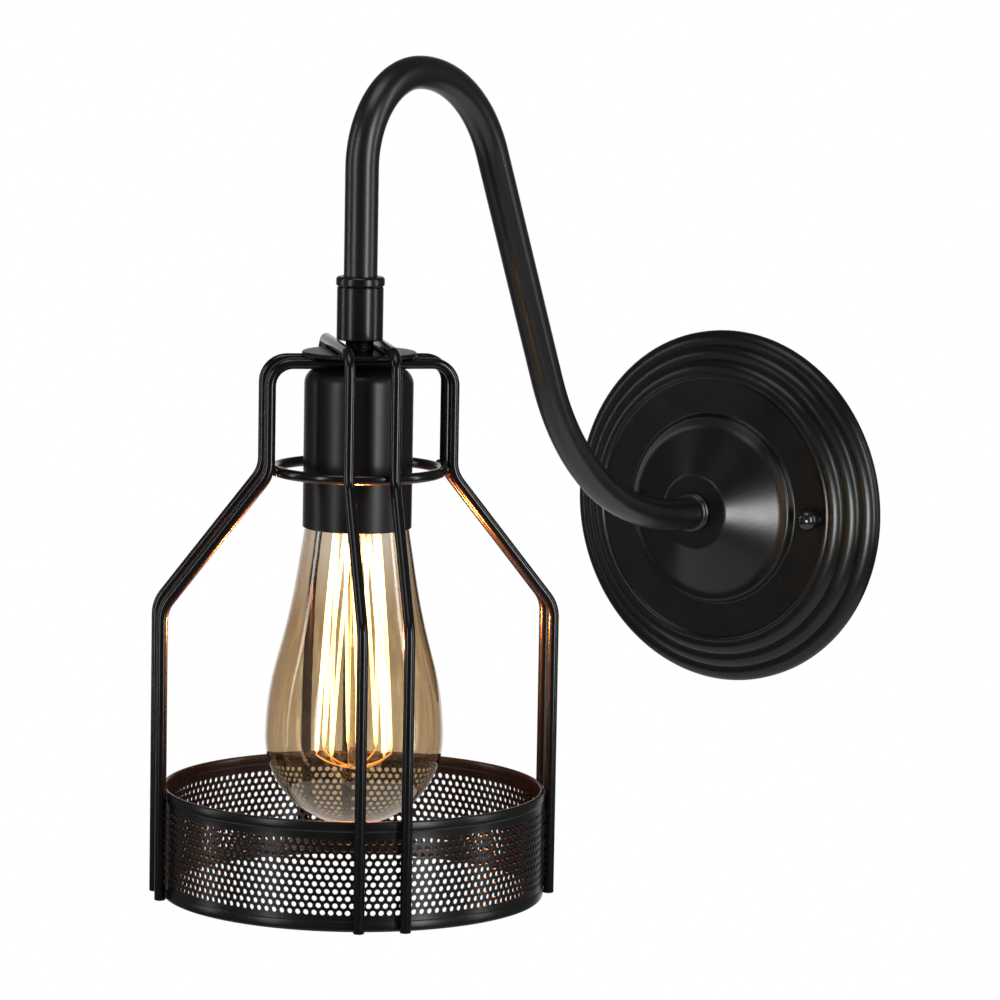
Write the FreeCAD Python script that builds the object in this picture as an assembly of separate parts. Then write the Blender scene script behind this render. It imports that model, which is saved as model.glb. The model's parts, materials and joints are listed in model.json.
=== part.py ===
import FreeCAD, Part
import math
import os
from FreeCAD import Vector

# Cage wall light: a spun wall canopy, a swan-neck arm and a wire cage with a perforated band
# around one filament bulb. Millimetres. The origin is the centre of the canopy's back on the
# wall, the wall is the plane Y = 0, the lamp stands out towards -Y, and +Z is up.

# ---- driving dimensions: the whole light ----
PROJECTION = 250.0          # wall to the cage's axis
CANOPY_DROP = 84.0          # cage's top above the canopy's centre
ARM_RISE = 100.0            # top of the arm above the cage's top
CAGE_WIDTH = 145.0          # across the cage's legs
CAGE_HEIGHT = 200.0         # cage's top to the feet of its legs
CAGE_TURN = 45.0            # the cage's wire planes stand at this angle to the wall's normal

# ---- named clearances ----
FIT_GAP = 0.04              # radial play of a thread, or of a shank in its hole
WELD_GAP = 0.05             # between a wire and what it is welded to
CLEAR_HOLE = 0.2            # radial play of a drilled clearance hole

# ---- wall canopy, spun from sheet ----
CANOPY_R = 70.0
CANOPY_WALL = 1.0
RIM_H = 2.2                 # upright edge that meets the wall
RIBS = 3
FLANK_W = 16.5              # width of the ribbed flank
RIB_BULGE = 1.1
FLOOR_H = 12.0              # the flat ring's distance from the wall
FLOOR_W = 13.3              # the flat ring's width
FLOOR_LIP_H = 0.9           # small bead between the ribs and the flat ring
FLOOR_LIP_W = 2.4
SHOULDER_W = 4.6            # rounded shoulder around the dome
SHOULDER_H = 3.2
SHOULDER_MIDDLE = (0.33, 0.78)      # middle of its curve, as shares of its width and height
DOME_TOP_R = 14.5
DOME_H = 26.0

# ---- wall bracket, studs and cap nuts ----
BRACKET_W = 16.0
BRACKET_T = 2.0
BRACKET_LIFT = 4.0          # the strip's ends stand off the wall by this
BRACKET_RAMP = 5.0
BRACKET_END = 6.5           # the strip goes on past its stud by this
STUD_ROOM = 1.9             # between the stud's head and the ramp
SLOT_PITCH = 48.0
SLOT_L = 12.0
SLOT_W = 4.6
STUD_R = 2.0
STUD_HEAD_R = 3.6
STUD_HEAD_T = 2.4
STUD_ENGAGE = 7.0           # thread inside the cap nut
NUT_BALL_R = 4.3
NUT_NECK_R = 3.5
NUT_NECK_H = 2.0
NUT_ROOM = 1.1              # between the cap nut's neck and the small bead
THREAD_RUNOUT = 0.4         # blind thread past the stud's end

# ---- arm ----
TUBE_R = 6.0
TUBE_WALL = 1.2
ARCH_R1 = 33.0              # first quarter of the arch
ARCH_R2 = 52.0              # down-going side of the arch
SLOPE = 66.0                # steepest part of the arm, from the horizontal
SWEEP_R1 = 98.0             # upper part of the reverse bend
SWEEP_R2 = 125.0            # lower part of the reverse bend
SWEEP_SPLIT = 22.0          # slope where the lower part starts
COLLAR_R = 7.6              # bead around the tube where it meets the canopy
COLLAR_L = 4.0
COLLAR_GROOVE = 0.6

# ---- threaded tube M10 and what it clamps ----
NIPPLE_R = 5.0
NIPPLE_BORE_R = 3.75
WALL_NIPPLE_FREE = 9.0      # length inside the canopy
WASHER_R = 8.5
WASHER_T = 1.0
HEX_AF = 14.0
HEX_T = 4.0
TAG_T = 0.8
TAG_REACH = 15.5
TAG_W = 5.0

# ---- terminal block, earth screw and leads ----
BLOCK_L = 16.0
BLOCK_W = 12.0
BLOCK_H = 8.0
BLOCK_EDGE_R = 1.0
BLOCK_SCREW_R = 1.4
BLOCK_SCREW_T = 0.8
SCREW_SLOT_W = 0.5
SCREW_SLOT_T = 0.4
LEAD_R = 1.1
LEAD_PITCH = 3.8
EARTH_X = -13.0
EARTH_SHANK_R = 1.5
EARTH_HEAD_R = 2.8
EARTH_HEAD_T = 1.8
EARTH_LEAD_R = 0.9
EARTH_LEAD_TURN = 30.0      # each half of its bow turns by this

# ---- coupler, disc and cage wires ----
COUPLER_R = 8.3
COUPLER_L = 22.8
COUPLER_RIM_R = 8.7
COUPLER_RIM_H = 3.6
COUPLER_GROOVE = 0.5
COUPLER_ROUND = 1.0
COUPLER_SOCKET = 13.5       # depth of the tube's seat in the coupler
CAGE_NIPPLE_UP = 8.0        # thread inside the coupler
CAGE_NIPPLE_DOWN = 3.0      # thread inside the lampholder's boss
EDGE_R = 0.3                # broken edge of a turned or pressed piece
WIRE_R = 2.0
WIRE_PITCH = 16.4           # between the two wires of a pair
NECK_WIDTH = 69.8           # across the upper, narrow part of the legs
NECK_H = 47.0               # cage's top down to where the legs spread
SPREAD_H = 95.0             # cage's top down to where they are upright again
TOP_BEND_R = 8.0
SPREAD_BEND_R = 12.0
DISC_R = 20.5
DISC_T = 1.5
DISC_ROUND = 0.6
RING_R = 1.9                # wire of the neck ring
RING_H = 46.5

# ---- perforated band ----
BAND_H = 39.0
BAND_T = 0.8
HEM_H = 3.3
HEM_IN = 1.1                # the hem stands in from the sheet's outside by this, past its wall
HEM_OUT = 0.5
HEM_ROUND = 0.8

# ---- lampholder ----
CUP_R = 19.5
CUP_WALL = 0.8
CUP_L = 57.5
CUP_ROUND = 6.0
BODY_R = 18.0
BODY_L = 31.0
BODY_BOSS_R = 9.5
BODY_BOSS_H = 4.0
BODY_WELL = 5.0             # from the boss's top down to the web
BODY_ROUND = 1.5
BODY_TOP_T = 4.0
SHELL_BORE_R = 13.5
SHELL_T = 0.5
SHELL_LIP_W = 1.2
SHELL_TAB_LAP = 0.5         # the tab starts under the lip by this
CONTACT_T = 0.6
CONTACT_W = 6.0
CONTACT_DROP = 5.0
RIVET_R = 1.3

# ---- bulb: screw cap 27 mm, glass 64 mm ----
CAP_THREAD_R = 13.1
CAP_ROOT_R = 12.3
CAP_TURNS = 5
CAP_PITCH = 3.62
CAP_WALL = 0.5
CAP_SHOULDER_R = 9.0
INSULATOR_H = 3.0
INSULATOR_LAND = 0.6        # its flat ring around the tip
TIP_R = 4.6
TIP_TOP_R = 3.2
TIP_H = 1.8
TIP_ROUND = 0.8
BULB_R = 32.0
BULB_LENGTH = 145.0
GLASS_WALL = 0.8
BELLY_RADIUS = 105.0        # curve above the widest part
WAIST_RADIUS = 250.0        # curve back towards the neck
WAIST_TURN = 7.0
BULB_NECK_R = 17.8
SHOULDER_RADIUS = 8.0       # turn in towards the cap
SHOULDER_TURN = 38.0
FOOT_RADIUS = 4.0
FOOT_IN_CAP = 2.0
FOOT_RUN = 1.4              # straight end of the glass, inside the cap
STEM_R = 2.2
STEM_NECK_R = 4.0
STEM_NECK_SHARE = 0.6       # the flared foot is this thick as far down, as a share of its height
STEM_FOOT_T = 1.5
STEM_FOOT_H = 14.0
STEM_FLARE_R = 6.0
STEM_BLEND_R = 3.0
STEM_END = 20.0             # end of the stem above the glass's bottom
HOOKS = 8
HOOK_R = 0.3
HOOK_REACH_TOP = 8.0
HOOK_REACH_LOW = 13.5
HOOK_LIFT = 2.0             # lower hooks above the stem's end
HOOK_DROP = 2.1             # upper hooks below the stem's flared foot
FILAMENT_R = 0.25

# ---- places that follow from the sizes above ----
ARM_TOP = ARM_RISE - TUBE_R                     # the tube's centre line, above the cage's top
LEG_X = CAGE_WIDTH / 2 - WIRE_R
NECK_X = NECK_WIDTH / 2 - WIRE_R
PAIR = WIRE_PITCH / 2
UPPER_WIRE_Z = -WIRE_R
DISC_TOP_Z = -2 * WIRE_R - WELD_GAP
DISC_LOW_Z = DISC_TOP_Z - DISC_T
LOWER_WIRE_Z = DISC_LOW_Z - WELD_GAP - WIRE_R
CUP_TOP_Z = LOWER_WIRE_Z - WIRE_R - WELD_GAP
CUP_LOW_Z = CUP_TOP_Z - CUP_L
HOLDER_NUT_Z = CUP_TOP_Z - CUP_WALL - WASHER_T  # upper face of the nut inside the cup
BODY_TOP_Z = HOLDER_NUT_Z - HEX_T
BODY_SHOULDER_Z = BODY_TOP_Z - BODY_BOSS_H
BODY_LOW_Z = BODY_SHOULDER_Z - BODY_L
WEB_TOP_Z = BODY_TOP_Z - BODY_WELL
WEB_LOW_Z = WEB_TOP_Z - BODY_TOP_T
CONTACT_Z = WEB_LOW_Z - CONTACT_DROP - CONTACT_T
CAP_TOP_Z = CONTACT_Z - TIP_H - INSULATOR_H     # upper rim of the cap's shell
CAP_LOW_Z = CAP_TOP_Z - CAP_TURNS * CAP_PITCH
BULB_LOW_Z = CONTACT_Z - BULB_LENGTH
GLASS_TOP_Z = CAP_LOW_Z + FOOT_IN_CAP
GLASS_FOOT_R = CAP_ROOT_R - CAP_WALL - FIT_GAP
STEM_LOW_Z = BULB_LOW_Z + STEM_END
FILAMENT_LOW_Z = STEM_LOW_Z + HOOK_LIFT
FILAMENT_TOP_Z = GLASS_TOP_Z - STEM_FOOT_H - HOOK_DROP
HEM_R = math.hypot(LEG_X, PAIR) - WIRE_R - WELD_GAP
BAND_R = HEM_R - HEM_OUT
RING_CENTRE_R = math.hypot(NECK_X, PAIR) - WIRE_R - WELD_GAP - RING_R
FLANK_IN_R = CANOPY_R - FLANK_W
FLOOR_OUT_R = FLANK_IN_R - FLOOR_LIP_W
DOME_R = FLOOR_OUT_R - FLOOR_W
STUD_X = FLOOR_OUT_R - NUT_ROOM - NUT_NECK_R
BLOCK_TOP_H = BRACKET_T + BLOCK_H
DOME_IN_H = DOME_H - CANOPY_WALL
WALL_NUT_H = DOME_IN_H - WASHER_T - TAG_T       # outer face of the nut inside the canopy
TUBE_END_S = PROJECTION - DOME_H
COUPLER_LOW_Z = WELD_GAP
TUBE_START_Z = COUPLER_LOW_Z + COUPLER_L - COUPLER_SOCKET


def rounded_wire(points, radii, closed=False):
    """A wire of straight runs through the points, with a tangent arc of the given radius at each."""
    pts = [Vector(*p) for p in points]
    n = len(pts)
    first, last, arcs = [], [], []
    for i, p in enumerate(pts):
        r = radii[i]
        if r <= 0 or (not closed and i in (0, n - 1)):
            first.append(p)
            last.append(p)
            arcs.append(None)
            continue
        a = (pts[i - 1] - p).normalize()
        b = (pts[(i + 1) % n] - p).normalize()
        half = a.getAngle(b) / 2
        reach = r / math.tan(half)
        middle = (a + b).normalize() * (r / math.sin(half) - r)
        first.append(p + a * reach)
        last.append(p + b * reach)
        arcs.append(p + middle)
    edges = []
    for i in range(n):
        if arcs[i] is not None:
            edges.append(Part.Arc(first[i], arcs[i], last[i]).toShape())
        j = (i + 1) % n
        if (closed or j) and last[i].distanceToPoint(first[j]) > 1e-6:
            edges.append(Part.makeLine(last[i], first[j]))
    return Part.Wire(edges)


def turned(outline, radii=None, axis="z"):
    """A solid turned from an outline of (radius, height); about Z, or out from the wall with axis='y'."""
    radii = radii or [0] * len(outline)
    if axis == "z":
        pts = [(r, 0, h) for r, h in outline]
        about = Vector(0, 0, 1)
    else:
        pts = [(r, -h, 0) for r, h in outline]
        about = Vector(0, 1, 0)
    face = Part.Face(rounded_wire(pts, radii, closed=True))
    return face.revolve(Vector(0, 0, 0), about, 360)


def rod(start, end, radius):
    """A round rod between two points."""
    a, b = Vector(*start), Vector(*end)
    return Part.makeCylinder(radius, a.distanceToPoint(b), a, b - a)


def swept(path, radius):
    """A round section carried along a smooth path."""
    edge = path.OrderedEdges[0]
    start = edge.valueAt(edge.FirstParameter)
    way = edge.tangentAt(edge.FirstParameter)
    if start.distanceToPoint(path.OrderedVertexes[0].Point) > 1e-6:
        start = edge.valueAt(edge.LastParameter)
    section = Part.Face(Part.Wire(Part.makeCircle(radius, start, way)))
    return path.makePipe(section)


def hexagon(flats, height, base, way):
    """A hexagonal prism, given across its flats."""
    r = flats / math.sqrt(3)
    z = Vector(*way).normalize()
    x = Vector(1, 0, 0) if abs(z.x) < 0.5 else Vector(0, 1, 0)
    y = z.cross(x)
    corners = []
    for k in range(6):
        a = math.radians(60 * k)
        corners.append(Vector(*base) + x * (r * math.cos(a)) + y * (r * math.sin(a)))
    return Part.Face(Part.makePolygon(corners + corners[:1])).extrude(z * height)


def at_cage(shape):
    """Turns a shape made about the cage's axis, with 0 at the cage's top, to its place."""
    shape = shape.copy()
    shape.rotate(Vector(0, 0, 0), Vector(0, 0, 1), CAGE_TURN)
    shape.translate(Vector(0, -PROJECTION, CANOPY_DROP))
    return shape


def course(place, heading, moves, to_space, offset=0):
    """A smooth line of straight runs and arcs, drawn from a place along a heading, in degrees.

    A move is (length,) or (radius, turn), where a positive turn goes left. An offset draws the
    line parallel to the given one, to its left.
    """
    h = math.radians(heading)
    at = [place[0] - offset * math.sin(h), place[1] + offset * math.cos(h)]
    edges = []
    for move in moves:
        spots = [to_space(*at)]
        if len(move) == 1:
            at = [at[0] + move[0] * math.cos(h), at[1] + move[0] * math.sin(h)]
            edges.append(Part.makeLine(spots[0], to_space(*at)))
            continue
        turn = math.radians(move[1])
        side = math.copysign(1, turn)
        radius = move[0] - side * offset
        centre = (at[0] - side * radius * math.sin(h), at[1] + side * radius * math.cos(h))
        for part in (0.5, 1.0):
            a = h + turn * part
            at = [centre[0] + side * radius * math.sin(a), centre[1] - side * radius * math.cos(a)]
            spots.append(to_space(*at))
        h += turn
        edges.append(Part.Arc(*spots).toShape())
    return edges


def arm_path(x, start_z, end_s):
    """The arm's centre line, moved sideways by x: up, over the arch, down the slope, into the wall."""
    slope = math.radians(SLOPE)
    split = math.radians(SWEEP_SPLIT)
    arch_drop = ARCH_R2 * (1 - math.cos(slope))
    sweep_drop = (SWEEP_R1 * (math.cos(split) - math.cos(slope))
                  + SWEEP_R2 * (1 - math.cos(split)))
    drop = ARM_TOP - arch_drop - sweep_drop + CANOPY_DROP
    reach = (ARCH_R1 + ARCH_R2 * math.sin(slope) + drop / math.tan(slope)
             + SWEEP_R1 * (math.sin(slope) - math.sin(split)) + SWEEP_R2 * math.sin(split))
    moves = [
        (ARM_TOP - ARCH_R1 - start_z,),
        (ARCH_R1, -90),
        (ARCH_R2, -SLOPE),
        (drop / math.sin(slope),),
        (SWEEP_R1, SLOPE - SWEEP_SPLIT),
        (SWEEP_R2, SWEEP_SPLIT),
        (end_s - reach,),
    ]
    return Part.Wire(course((0, start_z), 90, moves,
                            lambda s, z: Vector(x, s - PROJECTION, z + CANOPY_DROP)))


# ---- wall canopy ----

def wall_canopy():
    """Spun sheet: upright rim, three rounded ribs, a flat ring, and a dome with a flat top."""
    flank_top = FLOOR_H + FLOOR_LIP_H / 2
    edges = [Part.makeLine(Vector(CANOPY_R, 0, 0), Vector(CANOPY_R, -RIM_H, 0))]
    start = Vector(CANOPY_R, -RIM_H, 0)
    flank_end = Vector(FLANK_IN_R, -flank_top, 0)
    step = (flank_end - start) / RIBS
    out = Vector(-step.y, step.x, 0).normalize() * RIB_BULGE
    for k in range(RIBS):
        a = start + step * k
        b = a + step
        edges.append(Part.Arc(a, (a + b) / 2 + out, b).toShape())
    lip_end = Vector(FLOOR_OUT_R, -FLOOR_H, 0)
    lip_top = Vector((FLANK_IN_R + FLOOR_OUT_R) / 2, -(flank_top + FLOOR_LIP_H / 2), 0)
    edges.append(Part.Arc(flank_end, lip_top, lip_end).toShape())
    dome_foot = Vector(DOME_R, -FLOOR_H, 0)
    edges.append(Part.makeLine(lip_end, dome_foot))
    in_share, up_share = SHOULDER_MIDDLE
    shoulder = dome_foot - Vector(SHOULDER_W * in_share, SHOULDER_H * up_share, 0)
    shoulder_end = dome_foot - Vector(SHOULDER_W, SHOULDER_H, 0)
    edges.append(Part.Arc(dome_foot, shoulder, shoulder_end).toShape())
    dome_edge = Vector(DOME_TOP_R, -DOME_H, 0)
    edges.append(Part.makeLine(shoulder_end, dome_edge))
    hole_r = NIPPLE_R + CLEAR_HOLE
    outline = [
        dome_edge,
        Vector(hole_r, -DOME_H, 0),
        Vector(hole_r, -DOME_IN_H, 0),
        Vector(DOME_TOP_R - CANOPY_WALL / 2, -DOME_IN_H, 0),
        shoulder_end + Vector(-CANOPY_WALL / 2, CANOPY_WALL, 0),
        Vector(DOME_R - CANOPY_WALL, -(FLOOR_H - CANOPY_WALL), 0),
        Vector(FLANK_IN_R - CANOPY_WALL, -(FLOOR_H - CANOPY_WALL), 0),
        Vector(CANOPY_R - CANOPY_WALL, -(RIM_H - CANOPY_WALL / 2), 0),
        Vector(CANOPY_R - CANOPY_WALL, 0, 0),
        Vector(CANOPY_R, 0, 0),
    ]
    for a, b in zip(outline, outline[1:]):
        edges.append(Part.makeLine(a, b))
    shell = Part.Face(Part.Wire(edges)).revolve(Vector(0, 0, 0), Vector(0, 1, 0), 360)
    for side in (-1, 1):
        hole = rod((side * STUD_X, 0, 0), (side * STUD_X, -DOME_H, 0), STUD_R + CLEAR_HOLE)
        shell = shell.cut(hole)
    return shell


# ---- wall bracket, its studs and the cap nuts ----

def wall_bracket():
    """A pressed strip: its middle lies on the wall, its raised ends carry the two studs."""
    ramp = STUD_X - STUD_HEAD_R - STUD_ROOM
    flat = ramp - BRACKET_RAMP
    end = STUD_X + BRACKET_END
    lift = BRACKET_LIFT
    low = [(-end, -lift), (-ramp, -lift), (-flat, 0), (flat, 0), (ramp, -lift), (end, -lift)]
    high = [(x, y - BRACKET_T) for x, y in reversed(low)]
    outline = [Vector(x, y, -BRACKET_W / 2) for x, y in low + high]
    strip = Part.Face(Part.makePolygon(outline + outline[:1])).extrude(Vector(0, 0, BRACKET_W))
    through = BRACKET_LIFT + 2 * BRACKET_T
    for side in (-1, 1):
        x = side * SLOT_PITCH / 2
        straight = (SLOT_L - SLOT_W) / 2
        slot = Part.makeBox(2 * straight, through, SLOT_W, Vector(x - straight, -through, -SLOT_W / 2))
        for end_x in (x - straight, x + straight):
            slot = slot.fuse(rod((end_x, 0, 0), (end_x, -through, 0), SLOT_W / 2))
        strip = strip.cut(slot)
        strip = strip.cut(rod((side * STUD_X, 0, 0), (side * STUD_X, -through, 0), STUD_R + FIT_GAP))
    return strip.cut(rod((EARTH_X, 0, 0), (EARTH_X, -through, 0), EARTH_SHANK_R + FIT_GAP))


def bracket_stud(side):
    """A screw put through the strip from behind, its head against the strip."""
    top = FLOOR_H + STUD_ENGAGE
    x = side * STUD_X
    head_low = BRACKET_LIFT - STUD_HEAD_T
    head = rod((x, -head_low, 0), (x, -BRACKET_LIFT, 0), STUD_HEAD_R)
    return head.fuse(rod((x, -head_low, 0), (x, -top, 0), STUD_R)).removeSplitter()


def cap_nut(side):
    """A ball nut on a short neck, with a blind thread."""
    x = side * STUD_X
    ball_h = FLOOR_H + NUT_NECK_H + math.sqrt(NUT_BALL_R ** 2 - NUT_NECK_R ** 2)
    ball = Part.makeSphere(NUT_BALL_R, Vector(x, -ball_h, 0))
    nut = ball.fuse(rod((x, -FLOOR_H, 0), (x, -ball_h, 0), NUT_NECK_R))
    thread_h = FLOOR_H + STUD_ENGAGE + THREAD_RUNOUT
    return nut.cut(rod((x, -FLOOR_H, 0), (x, -thread_h, 0), STUD_R + FIT_GAP))


# ---- arm, collar and the threaded tube in the canopy ----

def arm_tube():
    """One bent tube, from its seat in the coupler to the canopy's dome."""
    outside = swept(arm_path(0, TUBE_START_Z, TUBE_END_S), TUBE_R)
    bore_line = arm_path(0, TUBE_START_Z - TUBE_WALL, TUBE_END_S + TUBE_WALL)
    return outside.cut(swept(bore_line, TUBE_R - TUBE_WALL))


def canopy_collar():
    """A small double bead around the tube, against the dome."""
    bore = TUBE_R + FIT_GAP
    half = COLLAR_L / 2
    out = COLLAR_R
    groove = COLLAR_R - COLLAR_GROOVE
    edges = [
        Part.makeLine(Vector(bore, -DOME_H, 0), Vector(groove, -DOME_H, 0)),
        Part.Arc(Vector(groove, -DOME_H, 0), Vector(out, -(DOME_H + half / 2), 0),
                 Vector(groove, -(DOME_H + half), 0)).toShape(),
        Part.Arc(Vector(groove, -(DOME_H + half), 0), Vector(out, -(DOME_H + 1.5 * half), 0),
                 Vector(groove, -(DOME_H + COLLAR_L), 0)).toShape(),
        Part.makeLine(Vector(groove, -(DOME_H + COLLAR_L), 0), Vector(bore, -(DOME_H + COLLAR_L), 0)),
        Part.makeLine(Vector(bore, -(DOME_H + COLLAR_L), 0), Vector(bore, -DOME_H, 0)),
    ]
    return Part.Face(Part.Wire(edges)).revolve(Vector(0, 0, 0), Vector(0, 1, 0), 360)


def wall_nipple():
    """A threaded tube with a wide end in the arm and its thread in the canopy."""
    end = DOME_IN_H - WALL_NIPPLE_FREE
    shank = rod((0, -end, 0), (0, -DOME_H, 0), NIPPLE_R)
    plug = rod((0, -DOME_H, 0), (0, -(DOME_H + COLLAR_L), 0), TUBE_R - TUBE_WALL - FIT_GAP)
    bore = rod((0, -end, 0), (0, -(DOME_H + COLLAR_L), 0), NIPPLE_BORE_R)
    return shank.fuse(plug).cut(bore).removeSplitter()


def wall_lock_washer():
    ring = rod((0, -DOME_IN_H, 0), (0, -(DOME_IN_H - WASHER_T), 0), WASHER_R)
    return ring.cut(rod((0, -DOME_IN_H, 0), (0, 0, 0), NIPPLE_R + FIT_GAP))


def earth_tag():
    """A ring tag under the nut, with a tongue for the earth lead."""
    top = DOME_IN_H - WASHER_T
    ring = rod((0, -top, 0), (0, -(top - TAG_T), 0), WASHER_R)
    tongue = Part.makeBox(TAG_REACH, TAG_T, TAG_W, Vector(-TAG_REACH, -top, -TAG_W / 2))
    return ring.fuse(tongue).cut(rod((0, -top, 0), (0, 0, 0), NIPPLE_R + FIT_GAP)).removeSplitter()


def wall_lock_nut():
    nut = hexagon(HEX_AF, HEX_T, (0, -WALL_NUT_H, 0), (0, 1, 0))
    return nut.cut(rod((0, -WALL_NUT_H, 0), (0, 0, 0), NIPPLE_R + FIT_GAP))


# ---- terminal block, earth screw and leads ----

def terminal_block():
    """A small moulded connector on the bracket's middle."""
    corner = Vector(-BLOCK_L / 2, -BLOCK_TOP_H, -BLOCK_W / 2)
    block = Part.makeBox(BLOCK_L, BLOCK_H, BLOCK_W, corner)
    upright = [e for e in block.Edges if abs(e.tangentAt(e.FirstParameter).y) > 0.9]
    return block.makeFillet(BLOCK_EDGE_R, upright)


def terminal_screw(side):
    x = side * BLOCK_L / 4
    y = -(BRACKET_T + BLOCK_H / 2)
    head = rod((x, y, BLOCK_W / 2), (x, y, BLOCK_W / 2 + BLOCK_SCREW_T), BLOCK_SCREW_R)
    slot_z = BLOCK_W / 2 + BLOCK_SCREW_T - SCREW_SLOT_T
    slot = Part.makeBox(2 * BLOCK_SCREW_R, SCREW_SLOT_W, SCREW_SLOT_T,
                        Vector(x - BLOCK_SCREW_R, y - SCREW_SLOT_W / 2, slot_z))
    return head.cut(slot)


def earth_screw():
    shank = rod((EARTH_X, 0, 0), (EARTH_X, -BRACKET_T, 0), EARTH_SHANK_R)
    head = rod((EARTH_X, -BRACKET_T, 0), (EARTH_X, -(BRACKET_T + EARTH_HEAD_T), 0), EARTH_HEAD_R)
    return shank.fuse(head).removeSplitter()


def earth_lead():
    """A short lead that bows once between the earth screw and the ring tag."""
    low = BRACKET_T + EARTH_HEAD_T
    high = WALL_NUT_H
    rise = high - low
    r = rise / 2
    bend = math.radians(EARTH_LEAD_TURN)
    side = r * (1 - math.cos(bend))
    quarter = r * math.sin(bend)
    mid_side = r * (1 - math.cos(bend / 2))
    half = r * math.sin(bend / 2)

    def at(out, up):
        return Vector(EARTH_X - out, -(low + up), 0)

    edges = [
        Part.Arc(at(0, 0), at(mid_side, half), at(side, quarter)).toShape(),
        Part.Arc(at(side, quarter), at(2 * side, rise / 2), at(side, rise - quarter)).toShape(),
        Part.Arc(at(side, rise - quarter), at(mid_side, rise - half), at(0, rise)).toShape(),
    ]
    return swept(Part.Wire(edges), EARTH_LEAD_R)


def lamp_lead(side):
    """An insulated lead, inside the arm all the way from the lampholder to the terminal block."""
    path = arm_path(side * LEAD_PITCH / 2, WEB_TOP_Z, PROJECTION - BLOCK_TOP_H)
    return swept(path, LEAD_R)


# ---- coupler, disc and cage ----

def coupler():
    """A turned sleeve: the tube seats in its top and the threaded tube screws into its foot."""
    top = COUPLER_LOW_Z + COUPLER_L
    rim = top - COUPLER_RIM_H
    groove = COUPLER_GROOVE
    bore = TUBE_R + FIT_GAP
    thread = NIPPLE_R + FIT_GAP
    outline = [
        (thread, COUPLER_LOW_Z),
        (COUPLER_R, COUPLER_LOW_Z),
        (COUPLER_R, rim - groove),
        (COUPLER_R - groove, rim - groove / 2),
        (COUPLER_R, rim),
        (COUPLER_RIM_R, rim + groove),
        (COUPLER_RIM_R, top - groove),
        (bore + groove, top),
        (bore, top),
        (bore, TUBE_START_Z),
        (thread, TUBE_START_Z),
    ]
    radii = [0, EDGE_R, 0, 0, 0, EDGE_R, COUPLER_ROUND, 0, 0, 0, 0]
    return at_cage(turned(outline, radii))


def cage_nipple():
    low = BODY_TOP_Z - CAGE_NIPPLE_DOWN
    high = COUPLER_LOW_Z + CAGE_NIPPLE_UP
    tube = rod((0, 0, low), (0, 0, high), NIPPLE_R)
    return at_cage(tube.cut(rod((0, 0, low), (0, 0, high), NIPPLE_BORE_R)))


def top_disc():
    """A round plate between the two pairs of cage wires."""
    hole = NIPPLE_R + CLEAR_HOLE
    outline = [(hole, DISC_LOW_Z), (DISC_R, DISC_LOW_Z), (DISC_R, DISC_TOP_Z), (hole, DISC_TOP_Z)]
    return at_cage(turned(outline, [0, EDGE_R, DISC_ROUND, 0]))


def cage_frame(level, side, turn):
    """One bent wire with two legs: up from a foot, in at the neck, over the disc and down again."""
    half = [
        (LEG_X, -CAGE_HEIGHT, 0),
        (LEG_X, -SPREAD_H, SPREAD_BEND_R),
        (NECK_X, -NECK_H, SPREAD_BEND_R),
        (NECK_X, level, TOP_BEND_R),
    ]
    whole = half + [(-r, z, bend) for r, z, bend in reversed(half)]
    points = [(side * PAIR, r, z) for r, z, bend in whole]
    wire = swept(rounded_wire(points, [bend for r, z, bend in whole]), WIRE_R)
    wire.rotate(Vector(0, 0, 0), Vector(0, 0, 1), turn)
    return at_cage(wire)


def neck_ring():
    ring = Part.makeTorus(RING_CENTRE_R, RING_R, Vector(0, 0, -RING_H))
    return at_cage(ring)


def perforated_band():
    """A sheet band with a rolled hem along both edges."""
    low, high = -CAGE_HEIGHT, -CAGE_HEIGHT + BAND_H
    hem_in = BAND_R - BAND_T - HEM_IN + HEM_OUT
    sheet_in = BAND_R - BAND_T
    outline = [
        (hem_in, low), (HEM_R, low), (HEM_R, low + HEM_H), (BAND_R, low + HEM_H),
        (BAND_R, high - HEM_H), (HEM_R, high - HEM_H), (HEM_R, high), (hem_in, high),
        (hem_in, high - HEM_H), (sheet_in, high - HEM_H), (sheet_in, low + HEM_H), (hem_in, low + HEM_H),
    ]
    r, s = HEM_ROUND, HEM_OUT / 2
    return at_cage(turned(outline, [r / 2, r, s, 0, 0, s, r, r / 2, 0, 0, 0, 0]))


# ---- lampholder ----

def socket_cup():
    """A drawn cup with a rounded shoulder and an open mouth."""
    hole = NIPPLE_R + CLEAR_HOLE
    inner = CUP_R - CUP_WALL
    outline = [
        (hole, CUP_TOP_Z), (CUP_R, CUP_TOP_Z), (CUP_R, CUP_LOW_Z), (inner, CUP_LOW_Z),
        (inner, CUP_TOP_Z - CUP_WALL), (hole, CUP_TOP_Z - CUP_WALL),
    ]
    return at_cage(turned(outline, [0, CUP_ROUND, EDGE_R, EDGE_R, CUP_ROUND - CUP_WALL, 0]))


def holder_washer():
    top = CUP_TOP_Z - CUP_WALL
    ring = rod((0, 0, top), (0, 0, top - WASHER_T), WASHER_R)
    return at_cage(ring.cut(rod((0, 0, top), (0, 0, top - WASHER_T), NIPPLE_R + FIT_GAP)))


def holder_nut():
    nut = hexagon(HEX_AF, HEX_T, (0, 0, BODY_TOP_Z), (0, 0, 1))
    return at_cage(nut.cut(rod((0, 0, BODY_TOP_Z), (0, 0, HOLDER_NUT_Z), NIPPLE_R + FIT_GAP)))


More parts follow.
